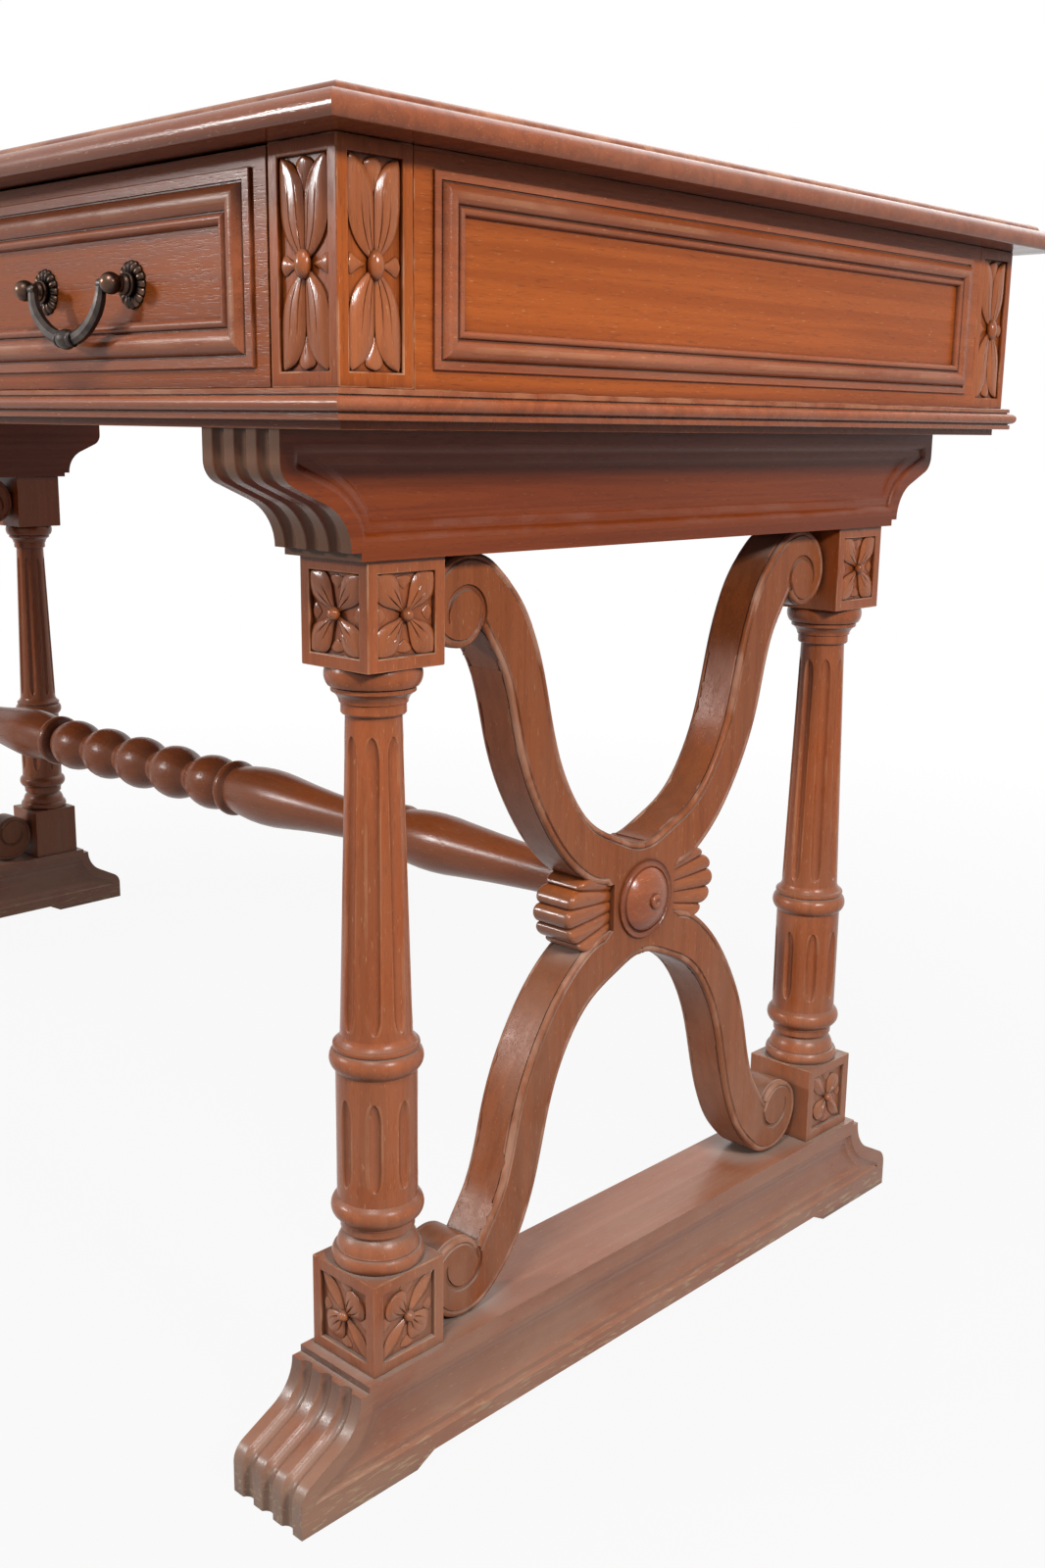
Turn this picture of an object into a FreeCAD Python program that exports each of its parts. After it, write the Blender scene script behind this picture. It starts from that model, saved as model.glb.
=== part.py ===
import FreeCAD, Part
import math
import os
from FreeCAD import Vector

# A writing desk with drawers on both long sides, on two scroll trestles joined by a stretcher.
# Millimetres. X runs along the desk, -Y is its front, Z is up, the origin is on the floor at its middle.

# Heights, stacked from the floor
FOOT_HEIGHT = 73.0
COLUMN_HEIGHT = 471.4
BEARER_HEIGHT = 66.0
BOTTOM_BOARD_THICKNESS = 18.6
FRIEZE_HEIGHT = 109.0
TOP_THICKNESS = 18.0

# Top and its moulded edge
TOP_LENGTH = 1365.0
TOP_WIDTH = 673.0
END_OVERHANG = 26.0
SIDE_OVERHANG = 24.0
EDGE_WIDTH = 70.0
EDGE_NOSE_HEIGHT = 13.5
EDGE_NOSE_RADIUS = 8.5
EDGE_STEP = 12.0

# Drawer case
POST_WIDTH = 49.0
POST_DEPTH = 46.0
SUNK_SIDE_MARGIN = 6.8
SUNK_END_MARGIN = 7.5
SUNK_DEPTH = 2.6
END_PANEL_THICKNESS = 18.0
CROSS_PARTITION_THICKNESS = 18.0
CENTRE_PARTITION_THICKNESS = 12.0
GUIDE_HEIGHT = 20.0
BOTTOM_BOARD_SETBACK = 3.9
GLUE_BLOCK_SIDE = 24.0
GLUE_BLOCK_LENGTH = 70.0
GLUE_BLOCK_SPACING = 280.0

# Base moulding round the bottom board
BASE_MOULDING_HEIGHT = 14.4
BASE_TOP_PROJECTION = 4.4
BASE_BEAD_PROJECTION = 8.3
BASE_FOOT_PROJECTION = 5.0
BASE_TOP_FILLET = 3.0
BASE_FOOT_FILLET = 3.4

# Planted mouldings on the end panels and the drawer fronts
END_MOULDING_SIDE_MARGIN = 12.0
END_MOULDING_WIDTH = 19.0
DRAWER_MOULDING_MARGIN = 12.0
DRAWER_MOULDING_SHARE = 0.22
MOULDING_EDGE_MARGIN = 9.5
MOULDING_FILLET_PROUD = 3.0
MOULDING_SHOULDER_PROUD = 4.8
MOULDING_HOLLOW_PROUD = 2.2
MOULDING_BEAD_PROUD = 3.4
MOULDING_INNER_PROUD = 0.8

# Drawers
END_DRAWER_OPENING = 311.0
DRAWER_GAP = 1.0
RUNNING_GAP = 0.3
FRONT_THICKNESS = 20.0
DRAWER_SIDE_THICKNESS = 10.0
DRAWER_SIDE_HEIGHT = 90.0
DRAWER_BOTTOM_THICKNESS = 5.0
DRAWER_BOTTOM_RISE = 6.0
DRAWER_BACK_ROOM = 12.0

# Drawer handles
HANDLE_SPACING = 84.4
HANDLE_DROP = 2.5
HANDLE_STANDOFF = 13.0
ROSETTE_RADIUS = 12.1
ROSETTE_THICKNESS = 3.2
POST_NECK_RADIUS = 3.3
BALL_RADIUS = 4.8
SHANK_RADIUS = 2.5
SHANK_CLEARANCE = 0.3
NUT_WIDTH = 9.0
NUT_THICKNESS = 4.0
BAIL_DROP = 25.5
BAIL_WIRE_RADIUS = 2.3
BAIL_PIN_RADIUS = 1.5
BAIL_PIN_CLEARANCE = 0.1
BAIL_END_GAP = 0.5
KNOP_RADIUS = 4.2
KNOP_LENGTH = 12.0

# Trestles
TRESTLE_SETBACK = 82.5
COLUMN_SETBACK = 85.6
RAIL_SETBACK = 1.6
RAIL_THICKNESS = 63.0
RAIL_NECK_SETBACK = 44.5
RAIL_FILLET_SETBACK = 6.5
RAIL_FILLET_HEIGHT = 4.4
FOOT_LIP = 19.0
BEARER_LIP = 16.0
OGEE_HOLLOW_SHARE = 0.60
OGEE_NOSE_SHARE = 0.28
END_FLUTES = 3
END_FLUTE_WIDTH = 9.5
END_FLUTE_DEPTH = 3.2
RECESS_END_BORDER = 10.0
RECESS_NECK_BORDER = 12.0
FOOT_RECESS_LIP_BORDER = 18.0
BEARER_RECESS_LIP_BORDER = 9.5
RECESS_SPLAY = 11.0
RECESS_DEPTH = 5.0
FOOT_PAD_LENGTH = 88.0
FOOT_RELIEF = 7.0

# Columns
BLOCK_SIZE = 55.4
UPPER_BLOCK_HEIGHT = 59.3
LOWER_BLOCK_HEIGHT = 58.3
BLOCK_PANEL_MARGIN = 7.5
BLOCK_PANEL_DEPTH = 3.0
TENON_SIZE = 30.0
TENON_LENGTH = 32.0
RING_RADIUS = 27.5
DRUM_RADIUS = 23.8
DRUM_HEIGHT = 72.0
SHAFT_BOTTOM_RADIUS = 21.0
SHAFT_TOP_RADIUS = 15.9
COLUMN_FLUTES = 8
COLUMN_FLUTE_WIDTH = 8.0
COLUMN_FLUTE_DEPTH = 2.6
FLUTE_TIP = 18.0
SHAFT_FLUTE_MARGIN_LOW = 4.0
SHAFT_FLUTE_MARGIN_HIGH = 10.0
DRUM_FLUTE_MARGIN = 8.0

# Scroll X of each trestle
SCROLL_THICKNESS = 32.0
CROSSING_HALF_HEIGHT = 38.5
NOTCH_DEPTH = 31.0
NOTCH_HALF_HEIGHT = 16.0
CROWN_RADIUS = 36.0
CROWN_TURN = 45.0
VOLUTE_TOP_RADIUS = 30.0
VOLUTE_LOWER_RADIUS = 24.0
VOLUTE_INNER_RADIUS = 19.0
VOLUTE_INNER_TURN = 64.0
VOLUTE_GAP = 0.2
# Points of the two long edges of an arm, as shares of the half width and half height of the space it fills
ARM_INNER_SHARES = (
    (0.114, 0.189),
    (0.258, 0.248),
    (0.374, 0.355),
    (0.438, 0.462),
    (0.503, 0.653),
    (0.533, 0.734),
    (0.578, 0.820),
    (0.628, 0.891),
)
ARM_OUTER_SHARES = (
    (0.242, 0.079),
    (0.313, 0.110),
    (0.408, 0.178),
    (0.532, 0.320),
    (0.582, 0.400),
    (0.630, 0.513),
    (0.672, 0.645),
    (0.705, 0.721),
)

# Shells and bosses at the crossings
SHELL_LOBES = 5
SHELL_REACH = 76.0
SHELL_FAN_SETBACK = 20.0
SHELL_LOBE_ANGLE = 7.9
SHELL_LOBE_FALL = 3.0
SHELL_VALLEY_DEPTH = 4.5
BOSS_RADIUS = 26.5
BOSS_RING_WIDTH = 5.0
BOSS_RING_HEIGHT = 5.0
BOSS_DOME_HEIGHT = 9.0
BOSS_KNOB_RADIUS = 3.5
BOSS_KNOB_HEIGHT = 12.0

# Stretcher
BOBBINS_EACH_SIDE = 2
BOBBIN_RADIUS = 23.5
BOBBIN_PITCH = 55.0
BOBBIN_NECK_RADIUS = 14.5
STRETCHER_RING_RADIUS = 23.7
STRETCHER_RING_WIDTH = 9.0
VASE_RADIUS = 23.8
VASE_NECK_RADIUS = 14.0
COLLAR_SETBACK = 206.0
COLLAR_RADIUS = 21.8
COLLAR_WIDTH = 8.0
OUTER_VASE_RADIUS = 22.4
STRETCHER_END_RADIUS = 13.0
STRETCHER_TENON_RADIUS = 11.0
STRETCHER_TENON_LENGTH = 20.0

# Screws
SCREW_RADIUS = 2.5
SCREW_HEAD_RADIUS = 5.0
SCREW_HEAD_HEIGHT = 3.0
SCREW_LENGTH = 34.0
SCREW_BITE = 13.0
SCREW_ROOM = 0.3
BEARER_SCREWS = 4
BEARER_SCREW_SPACING = 75.0
STRETCHER_SCREW_RADIUS = 3.0
STRETCHER_SCREW_HEAD_RADIUS = 8.0
STRETCHER_SCREW_BITE = 45.0

# Levels and half sizes that follow from the sizes above
bearer_bottom = FOOT_HEIGHT + COLUMN_HEIGHT
bearer_top = bearer_bottom + BEARER_HEIGHT
frieze_bottom = bearer_top + BOTTOM_BOARD_THICKNESS
frieze_top = frieze_bottom + FRIEZE_HEIGHT
half_top = (TOP_LENGTH / 2, TOP_WIDTH / 2)
half_frieze = (half_top[0] - END_OVERHANG, half_top[1] - SIDE_OVERHANG)
half_bottom_board = tuple(half - BOTTOM_BOARD_SETBACK for half in half_frieze)
post_inner_x = half_frieze[0] - POST_WIDTH
post_inner_y = half_frieze[1] - POST_DEPTH
divider_outer_x = post_inner_x - END_DRAWER_OPENING
divider_inner_x = divider_outer_x - POST_WIDTH
divider_middle_x = (divider_outer_x + divider_inner_x) / 2
end_panel_inner_x = half_frieze[0] - END_PANEL_THICKNESS
trestle_x = half_frieze[0] - TRESTLE_SETBACK
rail_half = half_bottom_board[1] - RAIL_SETBACK
column_y = rail_half - COLUMN_SETBACK
crossing_z = FOOT_HEIGHT + COLUMN_HEIGHT / 2
scroll_half_width = column_y - BLOCK_SIZE / 2 - VOLUTE_GAP
scroll_half_height = COLUMN_HEIGHT / 2
scroll_outer_x = trestle_x + SCROLL_THICKNESS / 2
scroll_inner_x = trestle_x - SCROLL_THICKNESS / 2
collar_place = scroll_inner_x - COLLAR_SETBACK
turned_length = COLUMN_HEIGHT - LOWER_BLOCK_HEIGHT - UPPER_BLOCK_HEIGHT
X_AXIS = Vector(1, 0, 0)
Y_AXIS = Vector(0, 1, 0)
Z_AXIS = Vector(0, 0, 1)
ORIGIN = Vector(0, 0, 0)


# General shapes

def block(x, y, z):
    """A box between the low and high values given for each axis."""
    return Part.makeBox(x[1] - x[0], y[1] - y[0], z[1] - z[0], Vector(x[0], y[0], z[0]))


def rod(radius, start, end):
    """A round rod from one point to another."""
    return Part.makeCylinder(radius, (end - start).Length, start, end - start)


def path(start, *steps):
    """Edges from a start point: a step of one point is straight, a step of two is an arc through the first."""
    edges = []
    here = start
    for step in steps:
        if len(step) == 2:
            edges.append(Part.Arc(here, step[0], step[1]).toShape())
        elif not here.isEqual(step[0], 1e-6):
            edges.append(Part.LineSegment(here, step[0]).toShape())
        here = step[-1]
    return edges


def closed_face(start, *steps):
    """A flat face inside the outline that path() draws, closed back to its start."""
    return Part.Face(Part.Wire(path(start, *steps, (start,))))


def turned(*profile):
    """A solid turned about Z: each profile entry is (radius, height), or two of them for an arc."""
    steps = [tuple(Vector(r, 0, z) for r, z in entry) for entry in profile]
    low = Vector(0, 0, profile[0][0][1])
    high = Vector(0, 0, profile[-1][-1][1])
    return closed_face(low, *steps, (high,)).revolve(ORIGIN, Z_AXIS, 360)


def point_on(centre, radius, degrees):
    """A point of a circle in the YZ plane."""
    angle = math.radians(degrees)
    return centre + Vector(0, radius * math.cos(angle), radius * math.sin(angle))


def mirrored_x(shape):
    """The same shape on the other trestle's side."""
    return shape.mirror(ORIGIN, X_AXIS)


def mirrored_y(shape):
    """The same shape on the desk's other long side."""
    return shape.mirror(ORIGIN, Y_AXIS)


def four_corners(shape):
    """A shape and its three mirror images about the desk's middle."""
    pair = [shape, mirrored_y(shape)]
    return pair + [mirrored_x(one) for one in pair]


def mitred_frame(half_u, half_v, *profile):
    """Four lengths of moulding round a rectangle, mitred at the corners.

    The profile is an outline of (inset, height) entries as turned() takes them: inset is measured inwards from
    the rectangle's edge, and height along Z.
    """
    points = [point for entry in profile for point in entry]
    insets = [inset for inset, height in points]
    heights = [height for inset, height in points]
    lengths = []
    for turn, (along, across) in enumerate(((half_u, half_v), (half_v, half_u)) * 2):
        steps = [tuple(Vector(0, inset - across, h) for inset, h in entry) for entry in profile]
        reach = along - min(insets)
        section = closed_face(*steps[0], *steps[1:])
        section.translate(Vector(-reach, 0, 0))
        bar = section.extrude(Vector(2 * reach, 0, 0))
        outer, inner = min(insets), max(insets)
        plan = closed_face(
            Vector(-along + outer, outer - across, min(heights)),
            (Vector(along - outer, outer - across, min(heights)),),
            (Vector(along - inner, inner - across, min(heights)),),
            (Vector(-along + inner, inner - across, min(heights)),),
        )
        wedge = plan.extrude(Vector(0, 0, max(heights) - min(heights)))
        length = bar.common(wedge)
        length.rotate(ORIGIN, Z_AXIS, 90 * turn)
        lengths.append(length)
    return lengths


def stood_up(shapes, centre, quarter_turns):
    """Shapes drawn flat, stood upright on a vertical face: facing -Y, or turned on from that by quarter turns."""
    placed = []
    for shape in shapes:
        copy = shape.copy()
        copy.rotate(ORIGIN, X_AXIS, 90)
        copy.rotate(ORIGIN, Z_AXIS, 90 * quarter_turns)
        copy.translate(centre)
        placed.append(copy)
    return placed


# Top

def top_edge_moulding():
    """Four lengths with a big rounded nose below and a small bead set back above it."""
    bead = TOP_THICKNESS - EDGE_NOSE_HEIGHT
    diagonal = 1 - math.sqrt(0.5)
    nose_mid = (EDGE_NOSE_RADIUS * diagonal, EDGE_NOSE_HEIGHT - EDGE_NOSE_RADIUS * diagonal)
    bead_mid = (EDGE_STEP + bead * diagonal, TOP_THICKNESS - bead * diagonal)
    lengths = mitred_frame(
        *half_top,
        ((0, 0),),
        ((0, EDGE_NOSE_HEIGHT - EDGE_NOSE_RADIUS),),
        (nose_mid, (EDGE_NOSE_RADIUS, EDGE_NOSE_HEIGHT)),
        ((EDGE_STEP, EDGE_NOSE_HEIGHT),),
        (bead_mid, (EDGE_STEP + bead, TOP_THICKNESS)),
        ((EDGE_WIDTH, TOP_THICKNESS),),
        ((EDGE_WIDTH, 0),),
    )
    for length in lengths:
        length.translate(Vector(0, 0, frieze_top))
    return lengths


def top_board():
    """The panel inside the moulded edge."""
    half = [size - EDGE_WIDTH for size in half_top]
    return block((-half[0], half[0]), (-half[1], half[1]), (frieze_top, frieze_top + TOP_THICKNESS))


def glue_blocks():
    """Blocks in the angle between the end panels and the top."""
    y = GLUE_BLOCK_SPACING / 2
    half = GLUE_BLOCK_LENGTH / 2
    one = block(
        (end_panel_inner_x - GLUE_BLOCK_SIDE, end_panel_inner_x),
        (y - half, y + half),
        (frieze_top - GLUE_BLOCK_SIDE, frieze_top),
    )
    return four_corners(one)


# Drawer case

def sunk_panel(x, y):
    """The cutter for a sunk carved panel on a face, over the frieze height less its margins."""
    return block(x, y, (frieze_bottom + SUNK_END_MARGIN, frieze_top - SUNK_END_MARGIN))


def corner_post():
    """The front right post, with a sunk panel on both outward faces."""
    x = (post_inner_x, half_frieze[0])
    y = (-half_frieze[1], -post_inner_y)
    post = block(x, y, (frieze_bottom, frieze_top))
    front = sunk_panel((x[0] + SUNK_SIDE_MARGIN, x[1] - SUNK_SIDE_MARGIN), (y[0], y[0] + SUNK_DEPTH))
    end = sunk_panel((x[1] - SUNK_DEPTH, x[1]), (y[0] + SUNK_SIDE_MARGIN, y[1] - SUNK_SIDE_MARGIN))
    return post.cut([front, end])


def drawer_divider():
    """The upright between two front drawers, with a sunk panel on its front."""
    x = (divider_inner_x, divider_outer_x)
    y = (-half_frieze[1], -post_inner_y)
    upright = block(x, y, (frieze_bottom, frieze_top))
    return upright.cut(sunk_panel((x[0] + SUNK_SIDE_MARGIN, x[1] - SUNK_SIDE_MARGIN), (y[0], y[0] + SUNK_DEPTH)))


def end_panel():
    """The panel between two corner posts."""
    return block((end_panel_inner_x, half_frieze[0]), (-post_inner_y, post_inner_y), (frieze_bottom, frieze_top))


def planted_profile(width):
    """A low outer fillet, a rounded shoulder, a hollow, a small bead and a cove down to a thin inner edge."""
    hollow_mid = (MOULDING_SHOULDER_PROUD + MOULDING_HOLLOW_PROUD) / 2 - 0.4
    cove_mid = (MOULDING_HOLLOW_PROUD + MOULDING_INNER_PROUD) / 2 - 0.3
    return (
        ((0, 0),),
        ((0, MOULDING_FILLET_PROUD),),
        ((0.15 * width, MOULDING_FILLET_PROUD),),
        ((0.27 * width, MOULDING_SHOULDER_PROUD), (0.40 * width, MOULDING_SHOULDER_PROUD - 0.9)),
        ((0.50 * width, hollow_mid), (0.63 * width, MOULDING_HOLLOW_PROUD)),
        ((0.70 * width, MOULDING_BEAD_PROUD), (0.77 * width, MOULDING_HOLLOW_PROUD)),
        ((0.87 * width, cove_mid), (width, MOULDING_INNER_PROUD)),
        ((width, 0),),
    )


def end_panel_moulding():
    """Mitred moulding planted on the right end panel."""
    half_u = post_inner_y - END_MOULDING_SIDE_MARGIN
    half_v = FRIEZE_HEIGHT / 2 - MOULDING_EDGE_MARGIN
    lengths = mitred_frame(half_u, half_v, *planted_profile(END_MOULDING_WIDTH))
    return stood_up(lengths, Vector(half_frieze[0], 0, frieze_bottom + FRIEZE_HEIGHT / 2), 1)


def base_moulding():
    """Mitred moulding on the edges of the bottom board: top fillet, bead and foot fillet."""
    top = BASE_MOULDING_HEIGHT
    bead_low = BASE_FOOT_FILLET
    bead_high = top - BASE_TOP_FILLET
    lengths = mitred_frame(
        *half_frieze,
        ((BOTTOM_BOARD_SETBACK, 0),),
        ((-BASE_FOOT_PROJECTION, 0),),
        ((-BASE_FOOT_PROJECTION, bead_low),),
        ((-BASE_BEAD_PROJECTION, (bead_low + bead_high) / 2), (-BASE_TOP_PROJECTION, bead_high)),
        ((-BASE_TOP_PROJECTION, top),),
        ((BOTTOM_BOARD_SETBACK, top),),
    )
    for length in lengths:
        length.translate(Vector(0, 0, frieze_bottom - top))
    return lengths


def bearer_screw_places():
    """The Y places of the screws along each bearer."""
    first = -BEARER_SCREW_SPACING * (BEARER_SCREWS - 1) / 2
    return [first + BEARER_SCREW_SPACING * number for number in range(BEARER_SCREWS)]


def bottom_board():
    """The board that the case stands on, with pilot holes for the bearer screws."""
    half = half_bottom_board
    board = block((-half[0], half[0]), (-half[1], half[1]), (bearer_top, frieze_bottom))
    holes = []
    for x in (-trestle_x, trestle_x):
        for y in bearer_screw_places():
            holes.append(rod(SCREW_RADIUS, Vector(x, y, bearer_top), Vector(x, y, bearer_top + SCREW_BITE)))
    return board.cut(holes)


def cross_partition():
    """The board behind the front right divider, back to the centre partition."""
    half = CROSS_PARTITION_THICKNESS / 2
    return block(
        (divider_middle_x - half, divider_middle_x + half),
        (-post_inner_y, -CENTRE_PARTITION_THICKNESS / 2),
        (frieze_bottom, frieze_top),
    )


def centre_partition():
    """The lengthwise board that the two sides' drawers back on to."""
    half = CENTRE_PARTITION_THICKNESS / 2
    return block((-end_panel_inner_x, end_panel_inner_x), (-half, half), (frieze_bottom, frieze_top))


def drawer_guides():
    """Strips on the bottom board that fill out to the drawer sides, for the front right quarter."""
    half = CROSS_PARTITION_THICKNESS / 2
    spans = (
        (post_inner_x, end_panel_inner_x),
        (divider_middle_x + half, divider_outer_x),
        (divider_inner_x, divider_middle_x - half),
    )
    y = (-post_inner_y, -CENTRE_PARTITION_THICKNESS / 2)
    return [block(x, y, (frieze_bottom, frieze_bottom + GUIDE_HEIGHT)) for x in spans]


# Drawers, built at the front

drawer_floor = frieze_bottom + RUNNING_GAP
handle_z = (frieze_bottom + frieze_top) / 2 - HANDLE_DROP
drawer_moulding_width = DRAWER_MOULDING_SHARE * FRIEZE_HEIGHT
front_y = -half_frieze[1]
front_back_y = front_y + FRONT_THICKNESS
bail_axis_y = front_y - HANDLE_STANDOFF


def handle_places(middle_x):
    """The X places of a drawer's two handle posts."""
    return [middle_x - HANDLE_SPACING / 2, middle_x + HANDLE_SPACING / 2]


def drawer_front(x):
    """A drawer front between two X values, bored for the handle shanks."""
    front = block(
        (x[0] + DRAWER_GAP, x[1] - DRAWER_GAP),
        (front_y, front_back_y),
        (drawer_floor, frieze_top - DRAWER_GAP),
    )
    bores = []
    for place in handle_places((x[0] + x[1]) / 2):
        start = Vector(place, front_y, handle_z)
        bores.append(rod(SHANK_RADIUS + SHANK_CLEARANCE, start, Vector(place, front_back_y, handle_z)))
    return front.cut(bores)


def drawer_box(x):
    """A drawer's two sides, its back and its bottom."""
    low = x[0] + DRAWER_GAP
    high = x[1] - DRAWER_GAP
    wall = DRAWER_SIDE_THICKNESS
    back_y = -CENTRE_PARTITION_THICKNESS / 2 - DRAWER_BACK_ROOM
    z = (drawer_floor, drawer_floor + DRAWER_SIDE_HEIGHT)
    bottom_z = drawer_floor + DRAWER_BOTTOM_RISE
    bottom_top = bottom_z + DRAWER_BOTTOM_THICKNESS
    return [
        block((low, low + wall), (front_back_y, back_y), z),
        block((high - wall, high), (front_back_y, back_y), z),
        block((low + wall, high - wall), (back_y - wall, back_y), (bottom_top, z[1])),
        block((low + wall, high - wall), (front_back_y, back_y), (bottom_z, bottom_top)),
    ]


def drawer_moulding(x):
    """Mitred moulding planted on a drawer front."""
    half_u = (x[1] - x[0]) / 2 - DRAWER_MOULDING_MARGIN
    half_v = FRIEZE_HEIGHT / 2 - MOULDING_EDGE_MARGIN
    lengths = mitred_frame(half_u, half_v, *planted_profile(drawer_moulding_width))
    return stood_up(lengths, Vector((x[0] + x[1]) / 2, front_y, frieze_bottom + FRIEZE_HEIGHT / 2), 0)


def handle_posts(middle_x):
    """Two turned posts with rosettes, balls and shanks, and the nuts inside the drawer."""
    shank_end = -FRONT_THICKNESS - NUT_THICKNESS
    sink = math.sqrt(BALL_RADIUS**2 - POST_NECK_RADIUS**2)
    post = turned(
        ((SHANK_RADIUS, shank_end),),
        ((SHANK_RADIUS, 0),),
        ((ROSETTE_RADIUS, 0),),
        ((ROSETTE_RADIUS, ROSETTE_THICKNESS / 3),),
        ((ROSETTE_RADIUS * 0.8, ROSETTE_THICKNESS * 0.85), (ROSETTE_RADIUS * 0.5, ROSETTE_THICKNESS)),
        ((POST_NECK_RADIUS, ROSETTE_THICKNESS * 1.3),),
        ((POST_NECK_RADIUS, HANDLE_STANDOFF - sink),),
        ((BALL_RADIUS, HANDLE_STANDOFF), (0, HANDLE_STANDOFF + BALL_RADIUS)),
    )
    corners = [point_on(ORIGIN, NUT_WIDTH / math.sqrt(3), 60 * number) for number in range(6)]
    nut = closed_face(corners[0], *((corner,) for corner in corners[1:])).extrude(Vector(NUT_THICKNESS, 0, 0))
    nut = nut.cut(rod(SHANK_RADIUS, ORIGIN, Vector(NUT_THICKNESS, 0, 0)))
    nut.rotate(ORIGIN, Y_AXIS, -90)
    nut.translate(Vector(0, 0, shank_end))
    pin_hole = BAIL_PIN_RADIUS + BAIL_PIN_CLEARANCE
    solids = []
    for place, inwards in zip(handle_places(middle_x), (1, -1)):
        centre = Vector(place, bail_axis_y, handle_z)
        hole = rod(pin_hole, centre, centre + Vector(inwards * 2 * BALL_RADIUS, 0, 0))
        standing, inside = stood_up([post, nut], Vector(place, front_y, handle_z), 0)
        solids += [standing.cut(hole), inside]
    return solids


def bail(middle_x):
    """The swinging bail: a drooping wire with a knop at its middle and a pin into each post's ball."""
    arm = HANDLE_SPACING / 2 - BALL_RADIUS - BAIL_END_GAP - BAIL_WIRE_RADIUS
    corner = 0.8 * BAIL_DROP
    sweep = ((arm - corner) ** 2 + BAIL_DROP**2 - corner**2) / (2 * (BAIL_DROP - corner))
    turn = math.atan2(sweep - BAIL_DROP, arm - corner)

    def bent(side, angle):
        return Vector(side * (arm - corner + corner * math.cos(angle)), 0, -corner * math.sin(angle))

    left = [bent(-1, angle) for angle in (0, turn / 2, turn)]
    right = [bent(1, angle) for angle in (turn, turn / 2, 0)]
    bottom = Vector(0, 0, -BAIL_DROP)
    spine = Part.Wire(path(left[0], left[1:], (bottom, right[0]), right[1:]))
    ring = Part.Wire(Part.Circle(left[0], Z_AXIS, BAIL_WIRE_RADIUS).toShape())
    wire = spine.makePipeShell([ring], True, False)
    half = KNOP_LENGTH / 2
    knop = turned(
        ((BAIL_WIRE_RADIUS * 0.5, -half),),
        ((KNOP_RADIUS, 0), (BAIL_WIRE_RADIUS * 0.5, half)),
    )
    knop.rotate(ORIGIN, Y_AXIS, 90)
    knop.translate(bottom)
    pieces = [knop]
    for side in (-1, 1):
        start = Vector(side * (arm - BAIL_WIRE_RADIUS), 0, 0)
        boss_end = Vector(side * (arm + BAIL_WIRE_RADIUS), 0, 0)
        pin_end = Vector(side * (HANDLE_SPACING / 2 - BAIL_END_GAP), 0, 0)
        pieces.append(rod(BAIL_WIRE_RADIUS * 1.15, start, boss_end))
        pieces.append(rod(BAIL_PIN_RADIUS, start, pin_end))
    whole = wire.multiFuse(pieces).removeSplitter()
    whole.translate(Vector(middle_x, bail_axis_y, handle_z))
    return whole


# Trestle rails: the foot, and the bearer that is the same shape upside down

def rail_solid(height, lip, inset, x):
    """A rail between two X values with ogee ends, its lip on the floor; the inset draws both ends in by that much."""
    half = rail_half
    shoulder = height - RAIL_FILLET_HEIGHT
    rise = shoulder - lip
    hollow = OGEE_HOLLOW_SHARE * rise
    nose = OGEE_NOSE_SHARE * rise
    steps = ogee_steps(half, shoulder, lip, hollow, nose, inset)
    fillet = half - RAIL_NECK_SETBACK - RAIL_FILLET_SETBACK - inset
    neck = [(Vector(0, fillet, height),), (Vector(0, fillet, shoulder),)]
    face = closed_face(ORIGIN, (Vector(0, 0, height),), *neck, *steps, (Vector(0, half - inset, 0),))
    face.translate(Vector(x[0], 0, 0))
    back_half = face.extrude(Vector(x[1] - x[0], 0, 0))
    return back_half.fuse(mirrored_y(back_half)).removeSplitter()


def ogee_steps(half, shoulder, lip, hollow, nose, inset):
    """An ogee from the neck at shoulder height down and out to the lip: hollow arc, straight slope, nose arc."""
    neck = half - RAIL_NECK_SETBACK
    hollow_centre = Vector(0, neck + hollow, shoulder)
    nose_centre = Vector(0, half - nose, lip)
    between = nose_centre - hollow_centre
    distance = between.Length
    along = between / distance
    aside = Vector(0, along.z, -along.y)
    share = (hollow + nose) / distance
    normal = along * share + aside * math.sqrt(1 - share**2)
    hollow_radius = hollow + inset
    nose_radius = max(nose - inset, 0)
    slope_start = hollow_centre + normal * hollow_radius
    start_angle = math.degrees(math.atan2(normal.z, normal.y)) % 360
    steps = [(Vector(0, neck - inset, shoulder),)]
    steps.append((point_on(hollow_centre, hollow_radius, (180 + start_angle) / 2), slope_start))
    if nose_radius > 0:
        slope_end = nose_centre - normal * nose_radius
        end_angle = start_angle - 180
        steps.append((slope_end,))
        steps.append((point_on(nose_centre, nose_radius, end_angle / 2), point_on(nose_centre, nose_radius, 0)))
    else:
        slope = Vector(0, -normal.z, normal.y)
        steps.append((slope_start + slope * ((half - inset - slope_start.y) / slope.y),))
    return steps


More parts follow.
